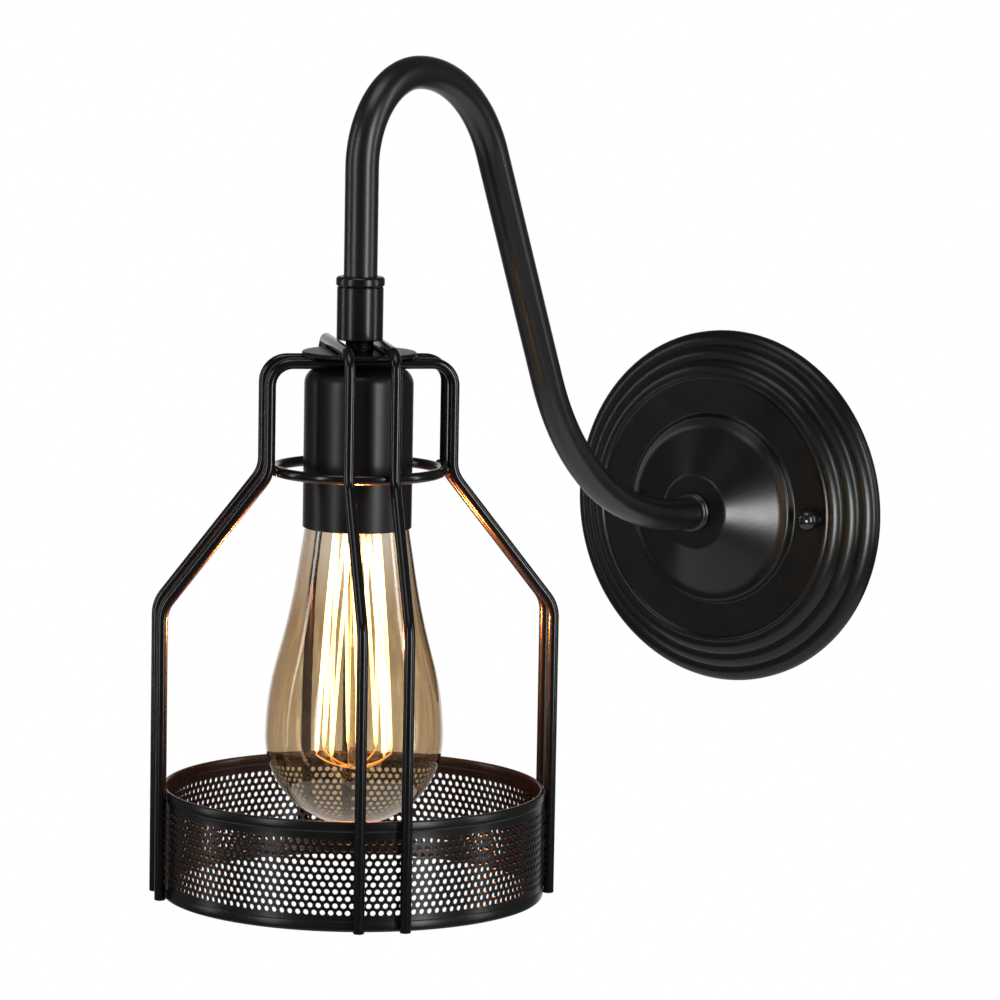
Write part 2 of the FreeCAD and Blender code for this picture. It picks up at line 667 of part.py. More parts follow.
def socket_body():
    """A moulded insulator: its boss is screwed on the threaded tube, its bore holds the shell."""
    top, shoulder, low = BODY_TOP_Z, BODY_SHOULDER_Z, BODY_LOW_Z
    bore = SHELL_BORE_R + SHELL_T
    thread = NIPPLE_R + FIT_GAP
    outline = [
        (thread, top), (BODY_BOSS_R, top), (BODY_BOSS_R, shoulder), (BODY_R, shoulder), (BODY_R, low),
        (bore, low), (bore, WEB_LOW_Z), (0, WEB_LOW_Z), (0, WEB_TOP_Z), (thread, WEB_TOP_Z),
    ]
    body = turned(outline, [0, EDGE_R, 0, BODY_ROUND, EDGE_R, 0, 0, 0, 0, 0])
    for side in (-1, 1):
        spot = rivet_spot(side)
        body = body.cut(rod((*spot, WEB_TOP_Z), (*spot, WEB_LOW_Z), RIVET_R + FIT_GAP))
    return at_cage(body)


def rivet_spot(side):
    """Where a lead comes down on the web, seen in the cage's own turned frame."""
    a = math.radians(-CAGE_TURN)
    x = side * LEAD_PITCH / 2
    return x * math.cos(a), x * math.sin(a)


def contact_rivet(side):
    spot = rivet_spot(side)
    return at_cage(rod((*spot, WEB_TOP_Z), (*spot, WEB_LOW_Z), RIVET_R))


def turned_back(shape):
    """Cancels the cage's turn, for a piece that lines up with the leads instead of the wires."""
    shape.rotate(Vector(0, 0, 0), Vector(0, 0, 1), -CAGE_TURN)
    return at_cage(shape)


def socket_shell():
    """The threaded shell, with a tab under the web to the neutral rivet."""
    low = BODY_LOW_Z
    out = SHELL_BORE_R + SHELL_T - FIT_GAP
    lip = SHELL_BORE_R - SHELL_LIP_W
    top = WEB_LOW_Z
    outline = [
        (SHELL_BORE_R, low), (out, low), (out, top), (lip, top), (lip, top - SHELL_T),
        (SHELL_BORE_R, top - SHELL_T),
    ]
    shell = turned(outline)
    tab_in = LEAD_PITCH / 2 - RIVET_R
    tab_l = lip + SHELL_TAB_LAP - tab_in
    tab = Part.makeBox(tab_l, 2 * RIVET_R, SHELL_T, Vector(tab_in, -RIVET_R, top - SHELL_T))
    return turned_back(shell.fuse(tab).removeSplitter())


def centre_contact():
    """A spring tongue: fixed under the live rivet, folded down and in to the middle."""
    w = CONTACT_W / 2
    t = CONTACT_T
    fold = -(LEAD_PITCH / 2 + 2 * RIVET_R)
    top = WEB_LOW_Z
    foot = Part.makeBox(LEAD_PITCH / 2 + 2 * RIVET_R - SHELL_T, CONTACT_W, t, Vector(fold, -w, top - t))
    leg = Part.makeBox(t, CONTACT_W, top - CONTACT_Z, Vector(fold, -w, CONTACT_Z))
    pad = Part.makeBox(2 * TIP_R, CONTACT_W, t, Vector(fold, -w, CONTACT_Z))
    return turned_back(foot.fuse(leg).fuse(pad).removeSplitter())


# ---- bulb ----

def bulb_cap():
    """A pressed shell with rounded thread ridges and an inturned upper rim."""
    edges = []
    at = Vector(CAP_SHOULDER_R, 0, CAP_TOP_Z)
    root = Vector(CAP_ROOT_R, 0, CAP_TOP_Z)
    edges.append(Part.makeLine(at, root))
    for k in range(CAP_TURNS):
        top = CAP_TOP_Z - k * CAP_PITCH
        a = Vector(CAP_ROOT_R, 0, top)
        b = Vector(CAP_THREAD_R, 0, top - CAP_PITCH / 2)
        c = Vector(CAP_ROOT_R, 0, top - CAP_PITCH)
        edges.append(Part.Arc(a, b, c).toShape())
    inner = CAP_ROOT_R - CAP_WALL
    outline = [
        Vector(CAP_ROOT_R, 0, CAP_LOW_Z), Vector(inner, 0, CAP_LOW_Z),
        Vector(inner, 0, CAP_TOP_Z - CAP_WALL), Vector(CAP_SHOULDER_R, 0, CAP_TOP_Z - CAP_WALL), at,
    ]
    for a, b in zip(outline, outline[1:]):
        edges.append(Part.makeLine(a, b))
    return at_cage(Part.Face(Part.Wire(edges)).revolve(Vector(0, 0, 0), Vector(0, 0, 1), 360))


def bulb_insulator():
    """Fused glass that carries the tip contact on the cap."""
    rim = CAP_SHOULDER_R - FIT_GAP
    low = CAP_TOP_Z - CAP_WALL
    top = CAP_TOP_Z + INSULATOR_H
    outline = [(0, low), (rim, low), (rim, CAP_TOP_Z), (TIP_R + INSULATOR_LAND, top), (0, top)]
    return at_cage(turned(outline))


def bulb_tip():
    """The solder button on top."""
    low = CAP_TOP_Z + INSULATOR_H
    outline = [(0, low), (TIP_R, low), (TIP_TOP_R, low + TIP_H), (0, low + TIP_H)]
    return at_cage(turned(outline, [0, 0, TIP_ROUND, 0]))


def glass_moves(belly_turn):
    """The envelope's runs and arcs from its bottom up, for one turn of the belly, and their height."""
    belly = math.radians(belly_turn)
    neck = math.radians(belly_turn - WAIST_TURN)
    turn = math.radians(SHOULDER_TURN) + neck
    r = BULB_R - BELLY_RADIUS * (1 - math.cos(belly)) - WAIST_RADIUS * (math.cos(neck) - math.cos(belly))
    z = BULB_R + BELLY_RADIUS * math.sin(belly) + WAIST_RADIUS * (math.sin(belly) - math.sin(neck))
    taper = (r - BULB_NECK_R) / math.sin(neck)
    bends = SHOULDER_RADIUS * (math.cos(neck) - math.cos(turn)) + FOOT_RADIUS * (1 - math.cos(turn))
    slant = (BULB_NECK_R - GLASS_FOOT_R - bends) / math.sin(turn)
    z += taper * math.cos(neck) + slant * math.cos(turn)
    z += SHOULDER_RADIUS * (math.sin(turn) - math.sin(neck)) + FOOT_RADIUS * math.sin(turn) + FOOT_RUN
    moves = [
        (BULB_R, 90),
        (BELLY_RADIUS, belly_turn),
        (WAIST_RADIUS, -WAIST_TURN),
        (taper,),
        (SHOULDER_RADIUS, SHOULDER_TURN),
        (slant,),
        (FOOT_RADIUS, -SHOULDER_TURN - belly_turn + WAIST_TURN),
        (FOOT_RUN,),
    ]
    return moves, z


def glass_outline(inset):
    """The envelope's half outline. The belly turns just as far as brings the glass to its end in the cap."""
    least, most = WAIST_TURN + 1, 60.0
    for _ in range(60):
        belly_turn = (least + most) / 2
        moves, height = glass_moves(belly_turn)
        if height > GLASS_TOP_Z - BULB_LOW_Z:
            least = belly_turn
        else:
            most = belly_turn
    return course((0, BULB_LOW_Z), 0, moves, lambda x, up: Vector(x, 0, up), inset)


def bulb_glass():
    """A blown envelope: a round bottom, a long taper to the neck, and a narrow foot in the cap."""
    outer = glass_outline(0)
    inner = glass_outline(GLASS_WALL)
    foot_end = outer[-1].valueAt(outer[-1].LastParameter)
    rim = Part.makeLine(foot_end, inner[-1].valueAt(inner[-1].LastParameter))
    low = Part.makeLine(Vector(0, 0, BULB_LOW_Z + GLASS_WALL), Vector(0, 0, BULB_LOW_Z))
    face = Part.Face(Part.Wire(outer + [rim] + inner[::-1] + [low]))
    return at_cage(face.revolve(Vector(0, 0, 0), Vector(0, 0, 1), 360))


def glass_stem():
    """A flared foot sealed in the neck, drawn out to a long rod."""
    foot = GLASS_FOOT_R - GLASS_WALL - FIT_GAP
    outline = [
        (0, GLASS_TOP_Z), (foot, GLASS_TOP_Z), (foot, GLASS_TOP_Z - STEM_FOOT_T),
        (STEM_NECK_R, GLASS_TOP_Z - STEM_FOOT_H * STEM_NECK_SHARE), (STEM_R, GLASS_TOP_Z - STEM_FOOT_H),
        (STEM_R, STEM_LOW_Z), (0, STEM_LOW_Z),
    ]
    return at_cage(turned(outline, [0, 0, 0, STEM_FLARE_R, STEM_BLEND_R, 0, 0]))


def hooks(reach, z):
    """Radial wires set in the stem, one for each turn of the filament."""
    return [
        at_cage(rod((STEM_R * math.cos(a), STEM_R * math.sin(a), z),
                    (reach * math.cos(a), reach * math.sin(a), z), HOOK_R))
        for a in (2 * math.pi * k / HOOKS for k in range(HOOKS))
    ]


def filament_runs():
    """The filament's long runs, each between an upper hook and a lower hook."""
    runs = []
    for k in range(HOOKS):
        a = 2 * math.pi * k / HOOKS
        top = HOOK_REACH_TOP - FILAMENT_R
        low = HOOK_REACH_LOW - FILAMENT_R
        runs.append(at_cage(rod((low * math.cos(a), low * math.sin(a), FILAMENT_LOW_Z + HOOK_R),
                                (top * math.cos(a), top * math.sin(a), FILAMENT_TOP_Z - HOOK_R),
                                FILAMENT_R)))
    return runs


def build():
    nodes = {
        "wall_canopy": wall_canopy(),
        "wall_bracket": wall_bracket(),
        "bracket_studs": Part.makeCompound([bracket_stud(-1), bracket_stud(1)]),
        "cap_nut_left": cap_nut(-1),
        "cap_nut_right": cap_nut(1),
        "arm_tube": arm_tube(),
        "canopy_collar": canopy_collar(),
        "wall_nipple": wall_nipple(),
        "wall_lock_washer": wall_lock_washer(),
        "earth_tag": earth_tag(),
        "wall_lock_nut": wall_lock_nut(),
        "terminal_block": terminal_block(),
        "terminal_screws": Part.makeCompound([terminal_screw(-1), terminal_screw(1)]),
        "earth_screw": earth_screw(),
        "earth_lead": earth_lead(),
        "live_lead": lamp_lead(-1),
        "neutral_lead": lamp_lead(1),
        "coupler": coupler(),
        "cage_nipple": cage_nipple(),
        "top_disc": top_disc(),
        "upper_frame_left": cage_frame(UPPER_WIRE_Z, -1, 0),
        "upper_frame_right": cage_frame(UPPER_WIRE_Z, 1, 0),
        "lower_frame_front": cage_frame(LOWER_WIRE_Z, 1, -90),
        "lower_frame_back": cage_frame(LOWER_WIRE_Z, -1, -90),
        "neck_ring": neck_ring(),
        "perforated_band": perforated_band(),
        "socket_cup": socket_cup(),
        "holder_washer": holder_washer(),
        "holder_nut": holder_nut(),
        "socket_body": socket_body(),
        "contact_rivets": Part.makeCompound([contact_rivet(-1), contact_rivet(1)]),
        "socket_shell": socket_shell(),
        "centre_contact": centre_contact(),
        "bulb_glass": bulb_glass(),
        "bulb_cap": bulb_cap(),
        "bulb_insulator": bulb_insulator(),
        "bulb_tip": bulb_tip(),
        "glass_stem": glass_stem(),
        "filament_hooks": Part.makeCompound(
            hooks(HOOK_REACH_TOP, FILAMENT_TOP_Z) + hooks(HOOK_REACH_LOW, FILAMENT_LOW_Z)),
        "filament": Part.makeCompound(filament_runs()),
    }
    os.makedirs("parts", exist_ok=True)
    for name, shape in nodes.items():
        shape.exportStep(f"parts/{name}.step")
        print(name, len(shape.Solids), round(shape.Volume, 1), shape.isValid())


build()
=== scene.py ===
import json
import math

import bmesh
import bpy
import numpy as np
from mathutils import Matrix, Vector

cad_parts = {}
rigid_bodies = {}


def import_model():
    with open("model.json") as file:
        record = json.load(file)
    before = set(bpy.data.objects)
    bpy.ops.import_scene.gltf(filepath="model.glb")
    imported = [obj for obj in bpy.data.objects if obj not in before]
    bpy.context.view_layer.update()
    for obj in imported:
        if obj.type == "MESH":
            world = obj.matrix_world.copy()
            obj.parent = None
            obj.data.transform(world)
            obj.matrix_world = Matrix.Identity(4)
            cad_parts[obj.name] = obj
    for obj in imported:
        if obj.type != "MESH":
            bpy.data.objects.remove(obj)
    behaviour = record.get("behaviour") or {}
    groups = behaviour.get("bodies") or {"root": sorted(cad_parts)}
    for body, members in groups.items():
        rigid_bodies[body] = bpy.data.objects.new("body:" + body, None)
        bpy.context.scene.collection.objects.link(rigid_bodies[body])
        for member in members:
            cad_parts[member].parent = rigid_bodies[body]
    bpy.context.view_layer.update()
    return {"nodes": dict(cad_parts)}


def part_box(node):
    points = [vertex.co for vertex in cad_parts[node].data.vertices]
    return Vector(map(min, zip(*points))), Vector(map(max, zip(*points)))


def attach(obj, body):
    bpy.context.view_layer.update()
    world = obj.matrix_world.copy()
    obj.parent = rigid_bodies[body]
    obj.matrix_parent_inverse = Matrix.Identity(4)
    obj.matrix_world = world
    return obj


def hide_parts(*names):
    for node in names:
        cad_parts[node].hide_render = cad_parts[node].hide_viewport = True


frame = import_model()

MM = 0.001

# ---- Camera ----
# A long lens from the front right and a little above, 1.8 m from the lamp. It stands 35 degrees
# round from the wall's normal and is turned by one degree, as the picture is.
CAMERA_AT = Vector((1.0499, -1.6788, 0.2600))
CAMERA_TARGET = Vector((0.0348, -0.2108, 0.0258))
CAMERA_ROLL = math.radians(1.03)
CAMERA_LENS = 180.18        # millimetres, as is the sensor
CAMERA_SENSOR = 36.0
NEAREST_SEEN = 0.05

camera = bpy.data.objects.new("camera", bpy.data.cameras.new("camera"))
bpy.context.scene.collection.objects.link(camera)
camera.data.lens = CAMERA_LENS
camera.data.sensor_width = CAMERA_SENSOR
camera.data.clip_start = NEAREST_SEEN
camera.location = CAMERA_AT
aim = (CAMERA_TARGET - CAMERA_AT).to_track_quat("-Z", "Y").to_matrix()
camera.rotation_euler = (aim @ Matrix.Rotation(CAMERA_ROLL, 3, "Z")).to_euler()
bpy.context.scene.camera = camera


# ---- Wall canopy ----
# A round spun-steel cover, 140 mm across: an upright rim on the wall, three rounded ribs, a
# narrow bead, a flat ring and a low dome with a flat top. It has satin black powder paint.
CANOPY_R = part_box("wall_canopy")[1].x
CANOPY_H = -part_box("wall_canopy")[0].y
SHEET = 1.0 * MM
RIM_H = 2.2 * MM
FLANK_W = 16.5 * MM
RIBS = 3
RIB_BULGE = 1.1 * MM
RIB_POWER = 2.3             # how square a rib's back is
EDGE = 0.2 * MM             # broken edge of a pressed or turned piece
FLOOR_H = 12.0 * MM
FLOOR_W = 13.3 * MM
BEAD_W = 2.4 * MM
BEAD_H = 0.9 * MM
BEAD_SWELL = 0.7            # the bead's rise over its slope, as a share of its height
SHOULDER_W = 4.6 * MM
SHOULDER_H = 3.2 * MM
DOME_RUN = 2.0 * MM         # last flat run before the dome
DOME_STEP = (1.2 * MM, 2.6 * MM)        # the steep step at its foot: inwards and up
DOME_BENDS = (1.0 * MM, 1.6 * MM, 9.0 * MM, 2.5 * MM)   # from its foot to its flat top
DOME_TOP_R = 14.5 * MM
DOME_HOLE_R = 5.2 * MM
FLANK_IN_R = CANOPY_R - FLANK_W
FLOOR_OUT_R = FLANK_IN_R - BEAD_W
DOME_R = FLOOR_OUT_R - FLOOR_W


def bent_line(corners, radii, steps=8):
    """Straight runs between the corners, each corner replaced by an arc tangent to both its runs.

    At a corner p with unit directions a and b to its neighbours, the arc of radius r starts at
    p + a r / tan(half angle) and turns about p + (a + b) r / (|a + b| sin(half angle)).
    """
    corners = np.array(corners, float)
    pieces = [corners[:1]]
    for before, p, after, r in zip(corners, corners[1:], corners[2:], radii[1:-1]):
        a = (before - p) / np.linalg.norm(before - p)
        b = (after - p) / np.linalg.norm(after - p)
        half = math.acos(np.clip(a @ b, -1, 1)) / 2
        if r <= 0 or half > math.pi / 2 - 1e-4:
            pieces.append(p[None])
            continue
        centre = p + (a + b) / np.linalg.norm(a + b) * r / math.sin(half)
        first = p + a * r / math.tan(half) - centre
        last = p + b * r / math.tan(half) - centre
        sweep = math.pi - 2 * half
        t = np.linspace(0, 1, steps + 1)[:, None]
        turn = (np.sin((1 - t) * sweep) * first + np.sin(t * sweep) * last) / math.sin(sweep)
        pieces.append(centre + turn)
    pieces.append(corners[-1:])
    return np.concatenate(pieces)


def make_piece(name, points, faces, body, finish, stands_for=(), crease=40):
    """A mesh from arrays of points and faces, welded, with its faces outwards, on its CAD body."""
    mesh = bpy.data.meshes.new(name)
    mesh.from_pydata(np.asarray(points).tolist(), [], [list(map(int, f)) for f in faces])
    work = bmesh.new()
    work.from_mesh(mesh)
    bmesh.ops.remove_doubles(work, verts=work.verts, dist=1e-7)
    bmesh.ops.recalc_face_normals(work, faces=work.faces)
    work.to_mesh(mesh)
    work.free()
    mesh.shade_smooth()
    mesh.set_sharp_from_angle(angle=math.radians(crease))
    mesh.materials.append(finish)
    piece = bpy.data.objects.new(name, mesh)
    bpy.context.scene.collection.objects.link(piece)
    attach(piece, body)
    if stands_for:
        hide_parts(*stands_for)
    return piece


def grid_faces(rows, columns, rows_close, columns_close):
    """Quads over a grid of points stored row by row. A closed direction joins its last to its first."""
    i = np.arange(rows if rows_close else rows - 1)
    j = np.arange(columns if columns_close else columns - 1)
    i, j = (a.ravel() for a in np.meshgrid(i, j, indexing="ij"))
    down, right = (i + 1) % rows, (j + 1) % columns
    return np.stack(
        [i * columns + j, down * columns + j, down * columns + right, i * columns + right], 1)


def round_angles(count):
    """Evenly spaced angles, once round."""
    return np.arange(count) * 2 * math.pi / count


def turned(outline, closed, around=160):
    """A turned surface: a point (r, h) of the outline goes round to (r cos v, r sin v, h)."""
    v = round_angles(around)
    r, h = outline[:, :1], outline[:, 1:]
    points = np.stack([r * np.cos(v), r * np.sin(v), h + 0 * v], -1).reshape(-1, 3)
    return points, grid_faces(len(outline), around, closed, True)


def from_wall(points, x=0.0):
    """Turned points with their axis laid along the wall's normal: height runs out to -Y."""
    return np.stack([points[:, 0] + x, -points[:, 2], points[:, 1]], 1)


class Value:
    """A shader socket with Python's arithmetic. Each operator adds one Math node."""

    def __init__(self, nodes, socket):
        self.nodes, self.socket = nodes, socket

    def math(self, operation, *others):
        inputs = dict(enumerate((self, *others)))
        return self.nodes.node("ShaderNodeMath", inputs, operation=operation)

    def __add__(self, other):
        return self.math("ADD", other)

    def __sub__(self, other):
        return self.math("SUBTRACT", other)

    def __mul__(self, other):
        return self.math("MULTIPLY", other)

    def __rsub__(self, other):
        return self.nodes.node("ShaderNodeMath", {0: other, 1: self}, operation="SUBTRACT")

    __radd__ = __add__
    __rmul__ = __mul__


class Nodes:
    """Adds nodes to one node tree, a material's or the world's."""

    def __init__(self, tree):
        self.tree = tree

    def node(self, kind, inputs=None, output=0, stops=None, **settings):
        """Adds a node: its settings first, then each socket's value or link. Returns one output."""
        made = self.tree.nodes.new(kind)
        for key, value in settings.items():
            setattr(made, key, value)
        if stops:
            ramp = made.color_ramp
            while len(ramp.elements) < len(stops):
                ramp.elements.new(1.0)
            for element, (place, colour) in zip(ramp.elements, stops):
                element.position = place
                element.color = (*colour, 1.0)
        for key, value in (inputs or {}).items():
            self.join(value, made.inputs[key])
        return Value(self, made.outputs[output])

    def join(self, value, socket):
        if isinstance(value, Value):
            self.tree.links.new(value.socket, socket)
        else:
            socket.default_value = value

    def place(self):
        return self.node("ShaderNodeTexCoord", output="Object")

    def along(self, axis):
        """One coordinate of the piece's own space, in metres."""
        return self.node("ShaderNodeSeparateXYZ", {0: self.place()}, output=axis)

    def noise(self, size, detail=3.0, where=None):
        """Cloudy noise from 0 to 1 whose lumps are about this size."""
        return self.node("ShaderNodeTexNoise", {"Vector": where or self.place(),
                                                "Scale": 1 / size, "Detail": detail})

    def mixed(self, share, first, second):
        """A colour between two colours."""
        return self.node("ShaderNodeMix", {0: share, 6: first, 7: second}, output=2,
                         data_type="RGBA", clamp_factor=True)


class Finish(Nodes):
    """One material: a Principled shader with its constants set, and nodes added round it."""

    def __init__(self, name, **constants):
        self.material = bpy.data.materials.new(name)
        self.material.use_nodes = True
        super().__init__(self.material.node_tree)
        self.shader = self.tree.nodes["Principled BSDF"]
        self.output = self.tree.nodes["Material Output"]
        self.feed(**constants)

    def feed(self, **sockets):
        """Sets the shader's sockets, or links what varies over the surface to them."""
        for socket, value in sockets.items():
            self.join(value, self.shader.inputs[socket.replace("_", " ")])
        return self.material

    def relief(self, height, depth):
        """A bump whose full height is the given depth in metres."""
        return self.node("ShaderNodeBump", {"Height": height, "Distance": depth, "Strength": 1.0})

    def cover(self, share, other):
        """Shows another shader over this one, by a share from 0 to 1."""
        own = Value(self, self.shader.outputs[0])
        both = self.node("ShaderNodeMixShader", {0: share, 1: own, 2: other}, output="Shader")
        self.join(both, self.output.inputs["Surface"])
        return self.material


def shade(tone, share):
    """A tone made darker or lighter by a share, as a socket's colour."""
    return (*(c * share for c in tone), 1.0)


def black_paint(name, tone, roughness, peel, level, peel_size=1.4 * MM):
    """Black paint on steel: a cloudy tone, orange peel of the given depth and size, and fine grain."""
    finish = Finish(name, Specular_IOR_Level=level)
    clouds = finish.noise(9 * MM, 4.0)
    grain = finish.noise(0.35 * MM, 2.0)
    skin = finish.noise(peel_size, 1.0)
    return finish.feed(
        Base_Color=finish.mixed(clouds * 0.7 + grain * 0.3, shade(tone, 0.75), shade(tone, 1.35)),
        Roughness=clouds * 0.08 + grain * 0.03 + (roughness - 0.055),
        Normal=finish.relief(skin, peel))


def canopy_outline():
    """The canopy's closed outline: up the rim, over the ribs, up the dome, and back inside by the
    sheet's thickness. With t from 0 to 1 over a rib, its height is 1 - |2t - 1| to its power."""
    flank_h = FLOOR_H + BEAD_H / 2
    rim = np.array([(CANOPY_R - EDGE, 0), (CANOPY_R, EDGE), (CANOPY_R, RIM_H)])
    t = np.linspace(0, RIBS, RIBS * 14 + 1)[1:]
    start, end = np.array((CANOPY_R, RIM_H)), np.array((FLANK_IN_R, flank_h))
    out = np.array((end[1] - start[1], start[0] - end[0]))
    out = out / np.linalg.norm(out) * RIB_BULGE
    hump = 1 - np.abs(2 * (t % 1) - 1) ** RIB_POWER
    ribs = start + (end - start) * (t / RIBS)[:, None] + out * hump[:, None]
    s = np.linspace(0, 1, 9)[1:]
    swell = BEAD_H * BEAD_SWELL * np.sin(math.pi * s)
    bead = np.stack([FLANK_IN_R - BEAD_W * s, flank_h + (FLOOR_H - flank_h) * s + swell], 1)
    dome = bent_line(
        [(DOME_R + DOME_RUN, FLOOR_H), (DOME_R, FLOOR_H),
         (DOME_R - DOME_STEP[0], FLOOR_H + DOME_STEP[1]),
         (DOME_R - SHOULDER_W, FLOOR_H + SHOULDER_H),
         (DOME_TOP_R, CANOPY_H), (DOME_HOLE_R, CANOPY_H)],
        [0, *DOME_BENDS, 0])
    skin = np.concatenate([ribs, bead, dome])
    way = np.gradient(skin, axis=0)
    way /= np.linalg.norm(way, axis=1)[:, None]
    inside = (skin - SHEET * np.stack([way[:, 1], -way[:, 0]], 1))[::-1]
    inside[:, 0] = np.clip(inside[:, 0], DOME_HOLE_R, CANOPY_R - SHEET)
    foot = np.array([(CANOPY_R - SHEET, 0)])
    return np.concatenate([rim, skin, inside[::2], foot])


canopy_paint = black_paint("canopy_black", (0.0018, 0.0018, 0.0019), 0.29, 0.018 * MM, level=0.34)
points, faces = turned(canopy_outline(), closed=True, around=240)
make_piece("canopy_shell", from_wall(points), faces, "fixture", canopy_paint,
           ["wall_canopy"], crease=35)


# ---- Wall bracket, nuts, washers and terminal screws ----
# Pressed and turned steel with bright zinc plating, all of it behind the canopy or inside the
# lampholder. Plating shows faint crystals and fine rolling marks.
CRYSTAL = 1.6 * MM


def zinc(name, tone=(0.60, 0.61, 0.63)):
    """Zinc plating: each crystal has its own shade, under fine rolling marks."""
    finish = Finish(name, Metallic=1.0)
    crystals = finish.node("ShaderNodeTexVoronoi", {"Vector": finish.place(), "Scale": 1 / CRYSTAL},
                           output="Color", feature="F1")
    flake = finish.node("ShaderNodeSeparateColor", {0: crystals})
    marks = finish.noise(0.5 * MM, 4.0)
    return finish.feed(
        Base_Color=finish.mixed(flake * 0.6 + marks * 0.5, shade(tone, 0.72), (*tone, 1.0)),
        Roughness=marks * 0.2 + flake * 0.08 + 0.22,
        Normal=finish.relief(marks, 0.01 * MM))


def dress(finish, *nodes):
    """Gives CAD nodes their finish; their meshes stay as they are."""
    for node in nodes:
        materials = frame["nodes"][node].data.materials
        materials.clear()
        materials.append(finish)


dress(zinc("bright_zinc"), "wall_bracket", "wall_lock_washer", "wall_lock_nut", "earth_tag",
      "holder_washer", "holder_nut", "terminal_screws")


# ---- Threaded tubes and studs ----
# Rolled steel tube with a fine M10 thread, one behind the dome and one through the coupler,
# disc and cup, and the two M4 studs on the bracket.
M10_PITCH = 1.0 * MM
M4_PITCH = 0.7 * MM
THREAD_DEPTH = 0.35 * MM


def threaded(name, pitch, axis, tone):
    """Zinc with a helical thread: height is the sine of the turn angle plus 2 pi times z / pitch. The
    thread's roots are painted darker, as painted shade.
    """
    finish = Finish(name, Metallic=1.0)
    across = [a for a in "XYZ" if a != axis]
    turn = finish.along(across[0]).math("ARCTAN2", finish.along(across[1]))
    groove = (finish.along(axis) * (2 * math.pi / pitch) + turn).math("SINE") * 0.5 + 0.5
    stain = finish.noise(2 * MM)
    return finish.feed(
        # painted shade: the colour darkens towards the roots of the thread
        Base_Color=finish.mixed(groove * 0.8 + stain * 0.3, shade(tone, 0.55), (*tone, 1.0)),
        Roughness=stain * 0.2 + 0.25,
        Normal=finish.relief(groove, THREAD_DEPTH))


dress(threaded("threaded_wall_tube", M10_PITCH, "Y", (0.66, 0.60, 0.45)), "wall_nipple")
dress(threaded("stud_thread", M4_PITCH, "Y", (0.60, 0.61, 0.63)), "bracket_studs")


# ---- Terminal block, earth screw and leads ----
# A moulded two-way connector on the bracket, a brass earth screw, and three insulated leads:
# two run inside the arm to the lampholder, the short one goes to the ring tag.
STRIPE_BLUR = 0.25 * MM     # how softly the earth lead's two colours meet


def moulded(name, tone, roughness):
    """Moulded plastic: a faint cloud in the colour and a spark-eroded grain."""
    finish = Finish(name)
    cloud = finish.noise(5 * MM)
    grain = finish.noise(0.4 * MM, 2.0)
    return finish.feed(
        Base_Color=finish.mixed(cloud * 0.6 + grain * 0.4, shade(tone, 0.9), (*tone, 1.0)),
        Roughness=grain * 0.12 + (roughness - 0.06),
        Normal=finish.relief(grain, 0.015 * MM))


def brass(name, tone=(0.78, 0.56, 0.28), roughness=0.3):
    """Rolled brass with dull patches of tarnish."""
    finish = Finish(name, Metallic=1.0)
    tarnish = finish.noise(3 * MM, 4.0)
    marks = finish.noise(0.25 * MM, 2.0)
    return finish.feed(
        Base_Color=finish.mixed(tarnish * 1.2 - 0.1, shade(tone, 0.6), (*tone, 1.0)),
        Roughness=tarnish * 0.15 + marks * 0.1 + (roughness - 0.1),
        Normal=finish.relief(marks, 0.006 * MM))


def two_tone_lead(name, first, second):
    """Insulation with a stripe: one colour above the lead's middle and the other below."""
    finish = Finish(name, Roughness=0.42)
    edge = finish.noise(1.5 * MM) * (0.3 * MM)
    side = ((finish.along("Z") + edge) * (1 / STRIPE_BLUR)).math("TANH") * 0.5 + 0.5
    grain = finish.noise(0.5 * MM)
    return finish.feed(Base_Color=finish.mixed(side, first, second),
                       Normal=finish.relief(grain, 0.01 * MM))


dress(moulded("block_nylon", (0.78, 0.76, 0.70), 0.45), "terminal_block")
dress(brass("earth_screw_brass"), "earth_screw")
dress(moulded("live_brown", (0.20, 0.075, 0.03), 0.4), "live_lead")
dress(moulded("neutral_blue", (0.03, 0.12, 0.42), 0.4), "neutral_lead")
dress(two_tone_lead("earth_green_yellow", (0.03, 0.30, 0.05, 1.0), (0.80, 0.68, 0.03, 1.0)),
      "earth_lead")


# ---- Cap nuts ----
# Two small ball nuts on short necks, screwed on the studs to hold the canopy. They are steel
# with the same black paint, a little glossier than the canopy.
STUD_X = sum(corner.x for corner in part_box("cap_nut_right")) / 2
STUD_R = 2.0 * MM
FIT_GAP = 0.04 * MM         # radial play of a thread, or of a piece in its seat
NUT_BALL_R = 4.3 * MM
NUT_NECK_R = 3.5 * MM
NUT_NECK_H = 2.0 * MM
NUT_BORE_H = 7.4 * MM


def nut_outline():
    """From the blind bore's end, out over the foot and up round the ball to its pole."""
    ball_h = NUT_NECK_H + math.sqrt(NUT_BALL_R ** 2 - NUT_NECK_R ** 2)
    low = -math.acos(NUT_NECK_R / NUT_BALL_R)
    a = np.linspace(low, math.pi / 2, 22)
    ball = np.stack([NUT_BALL_R * np.cos(a), ball_h + NUT_BALL_R * np.sin(a)], 1)
    ball[-1, 0] = 0
    bore_r = STUD_R + FIT_GAP
    bore = [(0, NUT_BORE_H), (bore_r, NUT_BORE_H), (bore_r, 0), (NUT_NECK_R - EDGE, 0),
            (NUT_NECK_R, EDGE)]
    return np.concatenate([bore, ball]) + (0, FLOOR_H)


nut_paint = black_paint("nut_black", (0.003, 0.003, 0.0032), 0.20, 0.008 * MM, level=0.59)
points, faces = turned(nut_outline(), closed=False, around=48)
for side, word in ((-1, "left"), (1, "right")):
    make_piece(f"ball_nut_{word}", from_wall(points, side * STUD_X), faces, f"{word}_nut",
               nut_paint, [f"cap_nut_{word}"])


